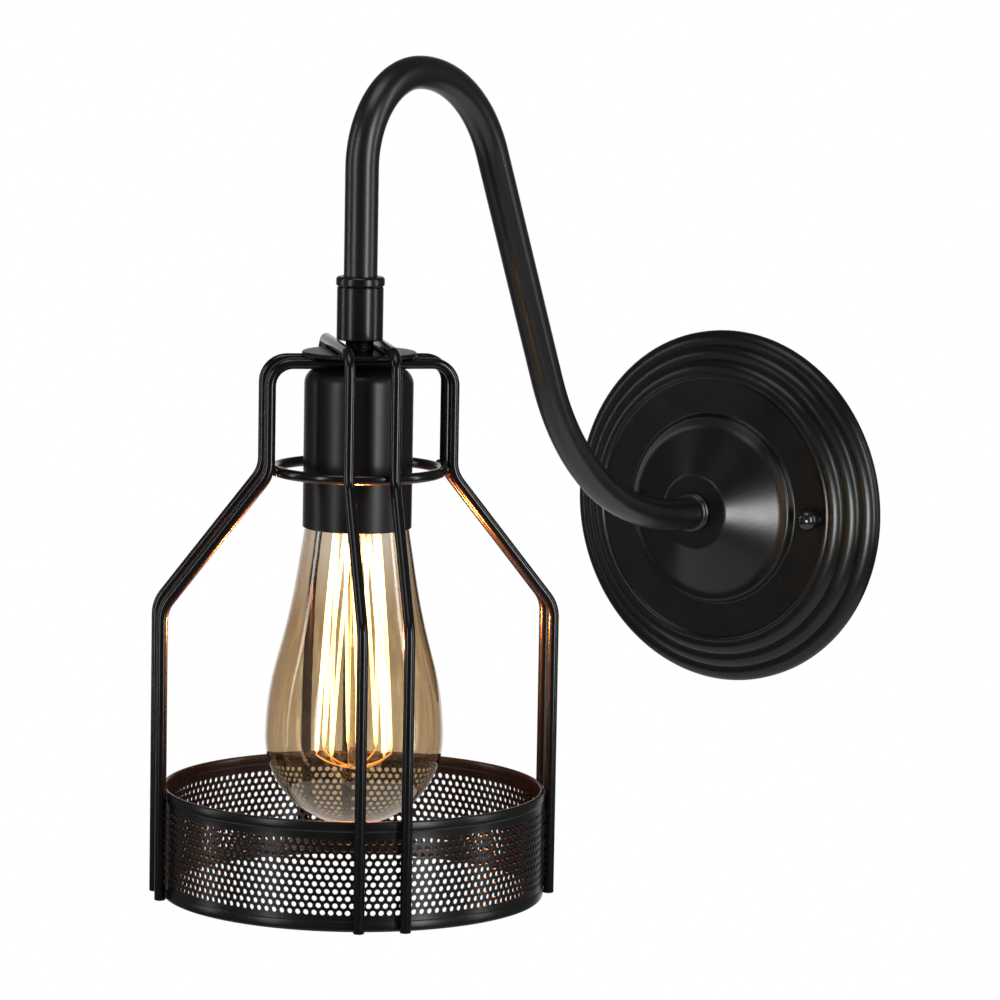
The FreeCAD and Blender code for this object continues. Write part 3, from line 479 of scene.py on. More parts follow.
# ---- Arm and its collar ----
# One steel tube, 12 mm across, bent into an arch and a long sweep down to the canopy, where a
# double bead closes the joint. Both have satin black paint.
PROJECTION = 250.0 * MM
CAGE_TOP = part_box("upper_frame_left")[1].z
TUBE_R = 6.0 * MM
TUBE_WALL = 1.2 * MM
ARM_TOP = 94.0 * MM         # centre line's top above the cage's top
ARCH_R1 = 33.0 * MM
ARCH_R2 = 52.0 * MM
SLOPE = math.radians(66.0)
SWEEP_R1 = 98.0 * MM
SWEEP_R2 = 125.0 * MM
SWEEP_SPLIT = math.radians(22.0)
TUBE_START = 9.35 * MM      # its seat in the coupler, above the cage's top
COLLAR_R = 7.6 * MM
COLLAR_L = 4.0 * MM
COLLAR_GROOVE = 0.6 * MM    # depth of the groove between its two beads


def course(at, heading, moves, step=math.radians(2.5)):
    """Points along runs (length,) and arcs (radius, turn) drawn from a place on a heading."""
    line = [np.array(at, float)[None]]
    for move in moves:
        x, y = line[-1][-1]
        if len(move) == 1:
            end = np.array((x + move[0] * math.cos(heading), y + move[0] * math.sin(heading)))
            line.append(end[None])
            continue
        radius, turn = move
        side = math.copysign(1, turn)
        a = heading + turn * np.linspace(0, 1, max(3, round(abs(turn) / step)))[1:]
        centre = (x - side * radius * math.sin(heading), y + side * radius * math.cos(heading))
        line.append(np.stack([centre[0] + side * radius * np.sin(a),
                              centre[1] - side * radius * np.cos(a)], 1))
        heading += turn
    return np.concatenate(line)


def arm_line():
    """The arm's centre line as (distance from the cage's axis, height over the cage's top)."""
    arch_drop = ARCH_R2 * (1 - math.cos(SLOPE))
    sweep_drop = (SWEEP_R1 * (math.cos(SWEEP_SPLIT) - math.cos(SLOPE))
                  + SWEEP_R2 * (1 - math.cos(SWEEP_SPLIT)))
    drop = ARM_TOP - arch_drop - sweep_drop + CAGE_TOP
    reach = (ARCH_R1 + ARCH_R2 * math.sin(SLOPE) + drop / math.tan(SLOPE)
             + SWEEP_R1 * (math.sin(SLOPE) - math.sin(SWEEP_SPLIT))
             + SWEEP_R2 * math.sin(SWEEP_SPLIT))
    moves = [(ARM_TOP - ARCH_R1 - TUBE_START,), (ARCH_R1, -math.pi / 2), (ARCH_R2, -SLOPE),
             (drop / math.sin(SLOPE),), (SWEEP_R1, SLOPE - SWEEP_SPLIT), (SWEEP_R2, SWEEP_SPLIT),
             (PROJECTION - CANOPY_H - reach,)]
    return course((0, TUBE_START), math.pi / 2, moves)


def tube(path, radius, side, around=32):
    """A circle carried along a flat path: p + r (cos v side + sin v (tangent x side))."""
    tangent = np.gradient(path, axis=0)
    tangent /= np.linalg.norm(tangent, axis=1)[:, None]
    side = np.broadcast_to(np.array(side, float), path.shape)
    up = np.cross(tangent, side)
    v = round_angles(around)
    r = np.broadcast_to(np.asarray(radius, float), len(path))[:, None, None]
    ring = np.cos(v)[None, :, None] * side[:, None] + np.sin(v)[None, :, None] * up[:, None]
    return (path[:, None] + r * ring).reshape(-1, 3)


def hollow_tube(path, radius, wall, side, around=48):
    """A tube with its bore: the outer skin one way and the inner skin back, joined at both ends."""
    outer = tube(path, radius, side, around)
    inner = tube(path, radius - wall, side, around).reshape(len(path), around, 3)[::-1]
    points = np.concatenate([outer, inner.reshape(-1, 3)])
    return points, grid_faces(2 * len(path), around, True, True)


arm_paint = black_paint("arm_black", (0.0032, 0.0032, 0.0034), 0.32, 0.012 * MM, level=0.60)
line = arm_line()
path = np.stack([0 * line[:, 0], line[:, 0] - PROJECTION, line[:, 1] + CAGE_TOP], 1)
points, faces = hollow_tube(path, TUBE_R, TUBE_WALL, (1, 0, 0))
make_piece("arm", points, faces, "fixture", arm_paint, ["arm_tube"])

t = np.linspace(0, 2, 21)
beads = COLLAR_R - COLLAR_GROOVE * (1 - np.sin(math.pi * (t % 1)))
seat_r = TUBE_R + FIT_GAP
outline = np.concatenate([np.stack([beads, CANOPY_H + COLLAR_L * t / 2], 1),
                          [(seat_r, CANOPY_H + COLLAR_L), (seat_r, CANOPY_H)]])
points, faces = turned(outline, closed=True, around=72)
make_piece("collar", from_wall(points), faces, "fixture", arm_paint,
           ["canopy_collar"])


# ---- Coupler and top disc ----
# A turned steel sleeve with a rounded rim and a groove under it joins arm and cage, and stands
# on a round plate that the cage wires are welded to, above it and below it.
WELD_GAP = 0.05 * MM
WIRE_R = 2.0 * MM
COUPLER_R = 8.3 * MM
COUPLER_L = 22.8 * MM
COUPLER_RIM_R = 8.7 * MM
COUPLER_RIM_H = 3.6 * MM
COUPLER_GROOVE = 0.5 * MM
COUPLER_ROUND = 1.2 * MM
SEAT_EDGE = 0.3 * MM        # the bevel at the mouth of the tube's seat
SOFT = 0.2 * MM             # rounding of the small turned corners
NIPPLE_R = 5.0 * MM
TUBE_HOLE_R = 5.2 * MM      # clearance hole for the threaded tube
DISC_R = 20.5 * MM
DISC_T = 1.5 * MM
DISC_ROUNDS = (0.7 * MM, 0.5 * MM)      # its upper and its lower edge
DISC_TOP = -2 * WIRE_R - WELD_GAP
CAGE_TURN = math.radians(45.0)


def at_cage(points):
    """From the cage's own space, with 0 at its top, to the lamp: turned 45 degrees, out and up."""
    x, y, z = np.asarray(points, float).T
    c, s = math.cos(CAGE_TURN), math.sin(CAGE_TURN)
    return np.stack([c * x - s * y, s * x + c * y - PROJECTION, z + CAGE_TOP], 1)


coupler_top = WELD_GAP + COUPLER_L
coupler_rim = coupler_top - COUPLER_RIM_H
thread_r = NIPPLE_R + FIT_GAP
outline = bent_line(
    [(thread_r, WELD_GAP), (COUPLER_R, WELD_GAP), (COUPLER_R, coupler_rim - COUPLER_GROOVE),
     (COUPLER_R - COUPLER_GROOVE, coupler_rim - COUPLER_GROOVE / 2), (COUPLER_R, coupler_rim),
     (COUPLER_RIM_R, coupler_rim + COUPLER_GROOVE), (COUPLER_RIM_R, coupler_top - SEAT_EDGE),
     (TUBE_R + SEAT_EDGE, coupler_top), (seat_r, TUBE_START), (thread_r, TUBE_START)],
    [0, 2 * SOFT, SOFT, SOFT / 2, SOFT, 2 * SOFT, COUPLER_ROUND, SOFT, 0, 0])
coupler_paint = black_paint("coupler_black", (0.0032, 0.0032, 0.0034), 0.26, 0.010 * MM,
                            level=0.42)
points, faces = turned(outline, closed=True, around=96)
make_piece("sleeve", at_cage(points), faces, "fixture", coupler_paint, ["coupler"])

disc_low = DISC_TOP - DISC_T
outline = bent_line(
    [(TUBE_HOLE_R, DISC_TOP), (DISC_R, DISC_TOP), (DISC_R, disc_low), (TUBE_HOLE_R, disc_low)],
    [0, *DISC_ROUNDS, 0])
disc_paint = black_paint("disc_black", (0.003, 0.003, 0.0032), 0.36, 0.012 * MM, level=0.18)
points, faces = turned(outline, closed=True, around=128)
make_piece("disc", at_cage(points), faces, "fixture", disc_paint, ["top_disc"])
# The threaded tube between coupler and disc is plated metal, painted nearly black here as painted shade
# in the narrow gap round it.
dress(threaded("threaded_cage_tube", M10_PITCH, "Z", (0.07, 0.07, 0.072)), "cage_nipple")


# ---- Cage wires and neck ring ----
# Four bent steel wires, 4 mm thick, with two legs each: two pass over the disc and two under
# it. A wire ring inside the neck holds the legs apart. All have gloss black paint.
CAGE_H = CAGE_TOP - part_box("perforated_band")[0].z
LEG_X = 70.5 * MM
NECK_X = 32.9 * MM
NECK_H = 47.0 * MM
SPREAD_H = 95.0 * MM
PAIR = 8.2 * MM             # half the distance between the two wires of a pair
TOP_BEND_R = 8.0 * MM
SPREAD_BEND_R = 12.0 * MM
WIRE_ROUND = 0.4 * MM       # broken edge at a wire's end
UPPER_LEVEL = -WIRE_R
LOWER_LEVEL = disc_low - WELD_GAP - WIRE_R
RING_R = 1.9 * MM
RING_H = 46.5 * MM
RING_AT = math.hypot(NECK_X, PAIR) - WIRE_R - WELD_GAP - RING_R


def frame_path(level, side, swap):
    """One wire's centre line in the cage: foot, neck, over the disc, neck and foot again."""
    half = [(LEG_X, -CAGE_H, 0), (LEG_X, -SPREAD_H, SPREAD_BEND_R),
            (NECK_X, -NECK_H, SPREAD_BEND_R), (NECK_X, level, TOP_BEND_R)]
    whole = half + [(-x, z, bend) for x, z, bend in reversed(half)]
    flat = bent_line([(x, z) for x, z, bend in whole], [bend for x, z, bend in whole], steps=14)
    across = np.full(len(flat), side * PAIR)
    if swap:
        return np.stack([flat[:, 0], -across, flat[:, 1]], 1)
    return np.stack([across, flat[:, 0], flat[:, 1]], 1)


def capped_wire(path, radius, side, around=28):
    """A solid wire with rounded ends. For an angle a from 0 to 90 degrees and a rounding e, the
    radius is r - e (1 - sin a) at e (1 - cos a) from the tip, and a low cone closes the end."""
    a = np.linspace(0, math.pi / 2, 6)
    inset = np.concatenate([[0], WIRE_ROUND * (1.05 - np.cos(a))])[:, None]
    ring = np.concatenate([[0], radius - WIRE_ROUND * (1 - np.sin(a))])
    first = (path[1] - path[0]) / np.linalg.norm(path[1] - path[0])
    last = (path[-2] - path[-1]) / np.linalg.norm(path[-2] - path[-1])
    line = np.concatenate([path[0] + first * inset, path[1:-1], (path[-1] + last * inset)[::-1]])
    radii = np.concatenate([ring, np.full(len(path) - 2, radius), ring[::-1]])
    return tube(line, radii, side, around), grid_faces(len(line), around, False, True)


wire_paint = black_paint("wire_gloss_black", (0.0025, 0.0025, 0.0027), 0.19, 0.004 * MM, level=0.44,
                         peel_size=4 * MM)
for word, level, side, swap in (("upper_frame_left", UPPER_LEVEL, -1, False),
                                ("upper_frame_right", UPPER_LEVEL, 1, False),
                                ("lower_frame_front", LOWER_LEVEL, 1, True),
                                ("lower_frame_back", LOWER_LEVEL, -1, True)):
    path = at_cage(frame_path(level, side, swap))
    flat_side = at_cage([(0, 1, 0) if swap else (1, 0, 0)])[0] - at_cage([(0, 0, 0)])[0]
    points, faces = capped_wire(path, WIRE_R, flat_side)
    make_piece(f"wire_{word}", points, faces, "fixture", wire_paint, [word])

w = round_angles(24)
outline = np.stack([RING_AT + RING_R * np.cos(w), -RING_H + RING_R * np.sin(w)], 1)
points, faces = turned(outline, closed=True, around=160)
make_piece("neck_hoop", at_cage(points), faces, "fixture", wire_paint, ["neck_ring"])


# ---- Welds ----
# A small bead where each leg meets the neck ring and both hems of the band, and where each
# wire crosses the disc's edge. They are ground lightly and painted with the wires.
BAND_H = 39.0 * MM
RING_WELD = np.array((1.5, 1.5, 2.0)) * MM      # half axes: outwards, sideways and up
HEM_WELD = np.array((0.9, 1.7, 1.6)) * MM
DISC_WELD = np.array((1.4, 2.3, 0.8)) * MM
RING_WELD_IN = 2.2 * MM     # inwards from the leg's middle
RING_WELD_UP = 0.6 * MM
HEM_WELD_IN = 0.1 * MM      # inwards from the leg's surface
HEM_WELD_AT = 2.0 * MM      # from the band's edge
DISC_WELD_IN = 0.6 * MM     # inwards from the disc's edge


def ball(centre, axes, around=12, rows=7):
    """An ellipsoid: centre + (a cos u cos v, b cos u sin v, c sin u), turned to face outwards."""
    u = np.linspace(-math.pi / 2, math.pi / 2, rows)[:, None]
    v = round_angles(around)
    x = axes[0] * np.cos(u) * np.cos(v)
    y = axes[1] * np.cos(u) * np.sin(v)
    z = axes[2] * np.sin(u) + 0 * v
    way = np.array(centre[:2]) / np.hypot(*centre[:2])
    points = np.stack([centre[0] + x * way[0] - y * way[1], centre[1] + x * way[1] + y * way[0],
                       centre[2] + z], -1).reshape(-1, 3)
    return points, grid_faces(rows, around, False, True)


def weld_places():
    """Each weld's centre and half axes, for all eight legs: at the ring, both hems and the disc."""
    hem_at = math.sqrt((math.hypot(LEG_X, PAIR) - WIRE_R - HEM_WELD_IN) ** 2 - PAIR ** 2)
    edge_at = math.sqrt(DISC_R ** 2 - PAIR ** 2) - DISC_WELD_IN
    for x in (-1, 1):
        for y in (-1, 1):
            for swap in (False, True):
                spots = ((NECK_X - RING_WELD_IN, RING_WELD_UP - RING_H, RING_WELD),
                         (hem_at, BAND_H - CAGE_H - HEM_WELD_AT, HEM_WELD),
                         (hem_at, HEM_WELD_AT - CAGE_H, HEM_WELD),
                         (edge_at, disc_low if swap else DISC_TOP, DISC_WELD))
                for out, z, axes in spots:
                    place = (x * out, y * PAIR) if swap else (y * PAIR, x * out)
                    yield (*place, z), axes


def joined(parts):
    """Several meshes as one: each one's faces count on from the points of those before it."""
    points, faces, count = [], [], 0
    for part_points, part_faces in parts:
        points.append(part_points)
        faces += [face + count for face in part_faces]
        count += len(part_points)
    return np.concatenate(points), faces


points, faces = joined([ball(centre, axes) for centre, axes in weld_places()])
make_piece("welds", at_cage(points), faces, "fixture", wire_paint, crease=80)


# ---- Perforated band ----
# A strip of 0.8 mm sheet rolled into a drum, with staggered round holes punched in eleven rows
# and both edges turned over into a hem. It is spot welded inside the cage's legs.
BAND_T = 0.8 * MM
HEM_R = math.hypot(LEG_X, PAIR) - WIRE_R - WELD_GAP
HEM_OUT = 0.5 * MM          # the hem stands out from the sheet by this, and inwards by the next
HEM_IN = 0.6 * MM
BAND_R = HEM_R - HEM_OUT
HEM_IN_R = BAND_R - BAND_T - HEM_IN
HEM_H = 4.0 * MM
HEM_POWER = 2.6             # how square the roll's section is
HEM_FROM = math.radians(-62.0)          # where the roll leaves the sheet and comes back to it
HEM_TO = math.radians(245.0)
HOLE_ROWS = 11
HOLES = 146
HOLE_R = 0.97 * MM
HOLE_TOP = 6.0 * MM         # plain sheet above the rows of holes, and below them
HOLE_LOW = 5.4 * MM
HOLE_SIDES = 12


def perforated_skin(radius, levels):
    """One face of the drum between two levels: a cell for each hole, with six points on its edge
    and twelve round its hole. Row k is turned by half a pitch against row k + 1, and the cells
    of both rows share the edge points, which stand half a pitch apart. It also returns the
    number of each hole's first point."""
    half = math.pi / HOLES
    ring = np.arange(2 * HOLES) * half
    edge = np.stack([radius * np.cos(ring), radius * np.sin(ring)], 1)
    edge_points = np.concatenate([
        np.column_stack([edge, np.full(len(edge), z)]) for z in levels])
    a = round_angles(HOLE_SIDES)
    row = np.repeat(np.arange(HOLE_ROWS), HOLES)
    middle = (2 * np.tile(np.arange(HOLES), HOLE_ROWS) + 1 + row % 2) * half
    centre_z = (levels[row] + levels[row + 1]) / 2
    angle = middle[:, None] + HOLE_R / radius * np.cos(a)
    hole_points = np.stack([radius * np.cos(angle), radius * np.sin(angle),
                            centre_z[:, None] + HOLE_R * np.sin(a)], -1).reshape(-1, 3)
    left = (2 * np.tile(np.arange(HOLES), HOLE_ROWS) + row % 2) % (2 * HOLES)
    low = row * 2 * HOLES
    high = (row + 1) * 2 * HOLES
    mid, right = (left + 1) % (2 * HOLES), (left + 2) % (2 * HOLES)
    corner = [low + mid, low + right, high + right, high + mid, high + left, low + left]
    hole = len(edge_points) + np.arange(len(row)) * HOLE_SIDES
    # the hole's points are numbered from its right-hand side: 9 is its lowest, 3 its highest
    spans = [(9, 10), (11, 0), (1, 2), (3, 4), (5, 6), (7, 8)]
    faces = []
    for k, (first, second) in enumerate(spans):
        here, after = corner[k], corner[(k + 1) % 6]
        third = (second + 1) % HOLE_SIDES
        faces.append(np.stack([here, hole + second, hole + first], 1))
        faces.append(np.stack([here, after, hole + second], 1))
        faces.append(np.stack([after, hole + third, hole + second], 1))
    points = np.concatenate([edge_points, hole_points])
    return points, np.concatenate(faces), hole


low_z, high_z = -CAGE_H, -CAGE_H + BAND_H
levels = np.linspace(low_z + HOLE_LOW, high_z - HOLE_TOP, HOLE_ROWS + 1)


def rolled_hem(level, edge, up):
    """From the sheet's outer face round a rolled hem to its inner face. The roll's section is
    |x / a|^n + |z / b|^n = 1, half the hem's width and half its height as a and b, n its power."""
    middle, a, b = (HEM_R + HEM_IN_R) / 2, (HEM_R - HEM_IN_R) / 2, HEM_H / 2
    t = np.linspace(HEM_FROM, HEM_TO, 34)
    c, d = np.cos(t), np.sin(t)
    roll = np.stack([middle + a * np.sign(c) * np.abs(c) ** (2 / HEM_POWER),
                     edge - up * b + up * b * np.sign(d) * np.abs(d) ** (2 / HEM_POWER)], 1)
    return np.concatenate([[(BAND_R, level)], roll, [(BAND_R - BAND_T, level)]])


outer_points, outer_faces, holes = perforated_skin(BAND_R, levels)
inner_points, inner_faces, holes = perforated_skin(BAND_R - BAND_T, levels)
points, faces = joined([(outer_points, outer_faces), (inner_points, inner_faces)])
k = np.arange(HOLE_SIDES)
here, after = holes[:, None] + k, holes[:, None] + (k + 1) % HOLE_SIDES
inwards = len(outer_points)
walls = np.stack([here, after, after + inwards, here + inwards], -1).reshape(-1, 4)
hems = [turned(outline, closed=False, around=2 * HOLES)
        for outline in (rolled_hem(levels[-1], high_z, 1), rolled_hem(levels[0], low_z, -1))]
points, faces = joined([(points, [*faces, *walls]), *hems])
band_paint = black_paint("band_black", (0.0045, 0.004, 0.004), 0.28, 0.010 * MM, level=0.34)
make_piece("band", at_cage(points), faces, "fixture", band_paint,
           ["perforated_band"], crease=30)


# ---- Lampholder ----
# A drawn steel cup with a rounded shoulder covers a moulded insulator, which is screwed on the
# threaded tube and holds a threaded brass shell, a spring contact and two rivets.
CUP_R = 19.5 * MM
CUP_WALL = 0.8 * MM
CUP_L = 57.5 * MM
CUP_ROUND = 6.0 * MM
CUP_LIP = 0.35 * MM         # rounding of its lower edge
cup_top = LOWER_LEVEL - WIRE_R - WELD_GAP
cup_low = cup_top - CUP_L
outline = bent_line(
    [(TUBE_HOLE_R, cup_top), (CUP_R, cup_top), (CUP_R, cup_low), (CUP_R - CUP_WALL, cup_low),
     (CUP_R - CUP_WALL, cup_top - CUP_WALL), (TUBE_HOLE_R, cup_top - CUP_WALL)],
    [0, CUP_ROUND, CUP_LIP, CUP_LIP, CUP_ROUND - CUP_WALL, 0], steps=12)
cup_paint = black_paint("cup_black", (0.0038, 0.0038, 0.0042), 0.33, 0.008 * MM, level=0.37)
points, faces = turned(outline, closed=True, around=128)
make_piece("cup", at_cage(points), faces, "fixture", cup_paint, ["socket_cup"])
dress(moulded("holder_phenolic", (0.018, 0.016, 0.015), 0.35), "socket_body")
dress(brass("holder_shell_brass"), "socket_shell", "centre_contact", "contact_rivets")


# ---- Bulb: cap and contacts ----
# A pressed nickel-plated brass cap with a rolled thread, a fused black glass insulator and a
# solder button. It screws into the lampholder's shell.
CAP_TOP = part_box("bulb_cap")[1].z - CAGE_TOP
CAP_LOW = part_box("bulb_cap")[0].z - CAGE_TOP
CAP_THREAD_R = 13.1 * MM
CAP_ROOT_R = 12.3 * MM
CAP_PITCH = 3.62 * MM
CAP_WALL = 0.4 * MM
CAP_SHOULDER_R = 9.0 * MM
THREAD_FADE = 1.6 * MM      # the thread runs out over this length at both rims


def cap_surface(around=96, along=72):
    """r = root + (thread - root) (1 + cos(2 pi z / pitch - v)) / 2, faded out near both rims."""
    v = round_angles(around)
    z = np.linspace(CAP_LOW, CAP_TOP, along)[:, None]
    fade = np.clip(np.minimum(z - CAP_LOW, CAP_TOP - z) / THREAD_FADE, 0, 1)
    wave = 0.5 + 0.5 * np.cos(2 * math.pi * (z - CAP_LOW) / CAP_PITCH - v)
    r = CAP_ROOT_R + (CAP_THREAD_R - CAP_ROOT_R) * wave * fade
    skin = np.stack([r * np.cos(v), r * np.sin(v), z + 0 * v], -1)
    rims = []
    for radius, height in ((CAP_SHOULDER_R, CAP_TOP), (CAP_SHOULDER_R, CAP_TOP - CAP_WALL),
                           (CAP_ROOT_R - CAP_WALL, CAP_TOP - CAP_WALL),
                           (CAP_ROOT_R - CAP_WALL, CAP_LOW)):
        rims.append(np.stack([radius * np.cos(v), radius * np.sin(v), height + 0 * v], -1)[None])
    points = np.concatenate([skin, *rims]).reshape(-1, 3)
    return points, grid_faces(along + 4, around, True, True)


points, faces = cap_surface()
cap_brass = brass("cap_nickel_brass", (0.70, 0.62, 0.48), 0.28)
make_piece("screw_cap", at_cage(points), faces, "bulb", cap_brass, ["bulb_cap"])
dress(moulded("cap_black_glass", (0.01, 0.01, 0.012), 0.12), "bulb_insulator")
dress(zinc("solder", (0.52, 0.52, 0.53)), "bulb_tip")


# ---- Bulb: glass envelope and stem ----
# A blown teardrop of smoky amber glass, 64 mm across and 0.8 mm thick, sealed in its neck to a
# clear glass stem that carries the hooks.
BULB_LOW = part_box("bulb_glass")[0].z - CAGE_TOP
BULB_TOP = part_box("bulb_glass")[1].z - CAGE_TOP
BULB_R = 32.0 * MM
GLASS_WALL = 0.8 * MM
GLASS_FOOT_R = 11.76 * MM
BELLY_RADIUS = 105.0 * MM
BELLY_TURN = math.radians(16.0)
WAIST_RADIUS = 250.0 * MM
WAIST_TURN = math.radians(7.0)
TAPER = 22.5 * MM
SHOULDER_RADIUS = 8.0 * MM
SHOULDER_TURN = math.radians(38.0)
SLANT = 3.2 * MM
FOOT_RADIUS = 4.0 * MM
STEM_R = 2.2 * MM
STEM_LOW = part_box("glass_stem")[0].z - CAGE_TOP
STEM_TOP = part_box("glass_stem")[1].z - CAGE_TOP
STEM_FOOT_H = 14.0 * MM
STEM_RIM = 1.5 * MM         # straight rim of the flared foot
STEM_NECK_R = 4.0 * MM
STEM_NECK_SHARE = 0.6       # the foot is this thick as far down, as a share of its height
STEM_BUTTON = 0.5 * MM      # the small button at the stem's end stands out by this
SEAL_GAP = 0.04 * MM        # between the stem's foot and the glass neck
SPARK_FROM = 24.0 * MM      # the stem sparkles from this far below its top, more upwards
SPARK_RISE = 120.0          # per metre
DRAWN_OUT = (1, 1, 0.05)    # streaks are twenty times as long as they are wide


def glass_line(inset):
    """The envelope's half outline, moved inwards by the inset: each arc keeps its centre."""
    moves = [(BULB_R - inset, math.pi / 2), (BELLY_RADIUS - inset, BELLY_TURN),
             (WAIST_RADIUS + inset, -WAIST_TURN), (TAPER,), (SHOULDER_RADIUS - inset, SHOULDER_TURN),
             (SLANT,), (FOOT_RADIUS + inset, WAIST_TURN - BELLY_TURN - SHOULDER_TURN)]
    line = course((0, BULB_LOW + inset), 0.0, moves, math.radians(1.2))
    line[0, 0] = 0
    return np.concatenate([line, [(line[-1, 0], BULB_TOP)]])


def amber_glass():
    """Clear amber glass: it passes lamp light straight on, and its tone thickens in the bowl. Its
    lighter, greyer neck is a painted highlight, and its lighter vertical streaks are partly drawn glass
    and partly painted reflections of the soft boxes.
    """
    finish = Finish("amber_glass", Transmission_Weight=1.0, IOR=1.47, Roughness=0.0)
    smoke = finish.noise(16 * MM, 2.0)
    stretched = finish.node("ShaderNodeVectorMath", {0: finish.place(), 1: DRAWN_OUT},
                            operation="MULTIPLY")
    streak = finish.noise(2.5 * MM, 2.0, stretched)
    low, high = BULB_LOW + CAGE_TOP, BULB_TOP + CAGE_TOP
    height = (finish.along("Z") - low) * (1 / (high - low)) + smoke * 0.12 - 0.06
    # the last stop, lighter and greyer at the neck, is a painted highlight
    body = finish.node("ShaderNodeValToRGB", {"Fac": height}, output="Color", stops=[
        (0.0, (0.62, 0.56, 0.48)), (0.30, (0.64, 0.53, 0.38)), (0.60, (0.60, 0.48, 0.34)),
        (0.82, (0.79, 0.75, 0.69))])
    edge = finish.node("ShaderNodeLayerWeight", {"Blend": 0.30}, output="Facing")
    # the lighter streaks are partly the glass's draw and partly painted reflections of the soft boxes
    body = finish.mixed(streak * 3.2 - 1.4, body, (0.82, 0.71, 0.52, 1.0))
    tone = finish.mixed(edge, body, (0.36, 0.22, 0.11, 1.0))
    finish.feed(Base_Color=tone, Normal=finish.relief(streak, 0.004 * MM))
    clear = finish.node("ShaderNodeBsdfTransparent", {"Color": (0.95, 0.86, 0.72, 1.0)},
                        output="BSDF")
    return finish.cover(finish.node("ShaderNodeLightPath", output="Is Shadow Ray"), clear)


def clear_glass():
    """Clear glass with sparks of the filament's light in it, hardly any in its lower part."""
    finish = Finish("stem_clear_glass", Transmission_Weight=1.0, IOR=1.5, Roughness=0.02,
                    Emission_Strength=1.6)
    cloud = finish.noise(4 * MM)
    rise = (finish.along("Z") - (STEM_TOP - SPARK_FROM + CAGE_TOP)) * SPARK_RISE
    rise = rise.math("MAXIMUM", 0.08).math("MINIMUM", 1.0)
    spark = (finish.noise(1.3 * MM, 3.0) * 3.4 - 1.4).math("MAXIMUM", 0.0) * rise
    return finish.feed(
        Base_Color=finish.mixed(cloud, (0.93, 0.84, 0.66, 1.0), (0.98, 0.93, 0.82, 1.0)),
        Emission_Color=finish.mixed(spark, (0.02, 0.008, 0.001, 1.0), (1.0, 0.55, 0.14, 1.0)))


outline = np.concatenate([glass_line(0), glass_line(GLASS_WALL)[::-1]])
points, faces = turned(outline, closed=False, around=160)
make_piece("envelope", at_cage(points), faces, "bulb", amber_glass(),
           ["bulb_glass"], crease=60)

stem_foot = GLASS_FOOT_R - GLASS_WALL - SEAL_GAP
outline = bent_line(
    [(0, STEM_TOP), (stem_foot, STEM_TOP), (stem_foot, STEM_TOP - STEM_RIM),
     (STEM_NECK_R, STEM_TOP - STEM_FOOT_H * STEM_NECK_SHARE), (STEM_R, STEM_TOP - STEM_FOOT_H),
     (STEM_R, STEM_LOW + 2 * STEM_BUTTON), (STEM_R + STEM_BUTTON, STEM_LOW + STEM_BUTTON),
     (0, STEM_LOW)],
    [0, 0.3 * MM, 0.5 * MM, 6 * MM, 3 * MM, STEM_BUTTON, STEM_BUTTON, 0], steps=8)
points, faces = turned(outline, closed=False, around=48)
make_piece("stem", at_cage(points), faces, "bulb", clear_glass(), ["glass_stem"])


# ---- Bulb: hooks and filament ----
# Two rings of eight thin hooks are set in the stem, and one long coiled wire runs down and up
# between them sixteen times. It glows white hot along its runs and orange at its turns.
HOOKS = 8
HOOK_R = 0.3 * MM
REACH_LOW = 13.5 * MM
REACH_TOP = 8.0 * MM
HOOK_PAST = 0.3 * MM        # a hook's tip reaches past the wire that it holds
HOOK_ROOT = 0.6             # a hook starts inside the stem, at this share of its radius
HOOK_CURVE = 2.2            # power of its sweep
LOW_HOOK_UP = 1.0 * MM      # foot of the lower hooks above the stem's end
TOP_HOOK_DOWN = 1.5 * MM    # foot of the upper hooks below the filament's upper turns
SAG = 0.6 * MM
FILAMENT_LIFT = 3.0 * MM    # lower turns above the solid's, as the hot wire draws up
FILAMENT_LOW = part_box("filament")[0].z - CAGE_TOP + FILAMENT_LIFT
FILAMENT_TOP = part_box("filament")[1].z - CAGE_TOP
COIL_R = 0.62 * MM


def hook_wires(angles, reach, foot, tip):
    """Curved hooks: with t from 0 to 1 they run outwards by t, and from the foot's height to the
    tip's by t to the power of their sweep."""
    hooks = []
    t = np.linspace(0, 1, 9)
    root = STEM_R * HOOK_ROOT
    for a in angles:
        out = root + (reach - root) * t
        z = foot + (tip - foot) * t ** HOOK_CURVE
        path = np.stack([out * math.cos(a), out * math.sin(a), z], 1)
        tip_way = path[-1] - path[-2]
        path = np.concatenate([path, [path[-1] + tip_way * 0.05]])
        radii = np.full(len(path), HOOK_R)
        radii[0] = radii[-1] = 0
        hooks.append((tube(path, radii, (-math.sin(a), math.cos(a), 0), 10),
                      grid_faces(len(path), 10, False, True)))
    return hooks


def filament_runs():
    """A zigzag between lower and upper hooks. Each run is a straight line with a little sag."""
    runs = []
    t = np.linspace(0, 1, 33)
    for k in range(2 * HOOKS):
        a_low = 2 * math.pi * ((k + 1) // 2) / HOOKS
        a_top = 2 * math.pi * (k // 2 + 0.5) / HOOKS
        low = np.array((REACH_LOW * math.cos(a_low), REACH_LOW * math.sin(a_low), FILAMENT_LOW))
        top = np.array((REACH_TOP * math.cos(a_top), REACH_TOP * math.sin(a_top), FILAMENT_TOP))
        path = low + (top - low) * t[:, None]
        bow = SAG * np.sin(math.pi * t)[:, None]
        outward = np.array((math.cos(a_low), math.sin(a_low), 0))
        path = path + outward * bow
        side = np.cross(top - low, outward)
        radii = np.full(len(path), COIL_R)
        radii[0] = radii[-1] = 0
        runs.append((tube(path, radii, side / np.linalg.norm(side), 10),
                     grid_faces(len(path), 10, False, True)))
    return runs


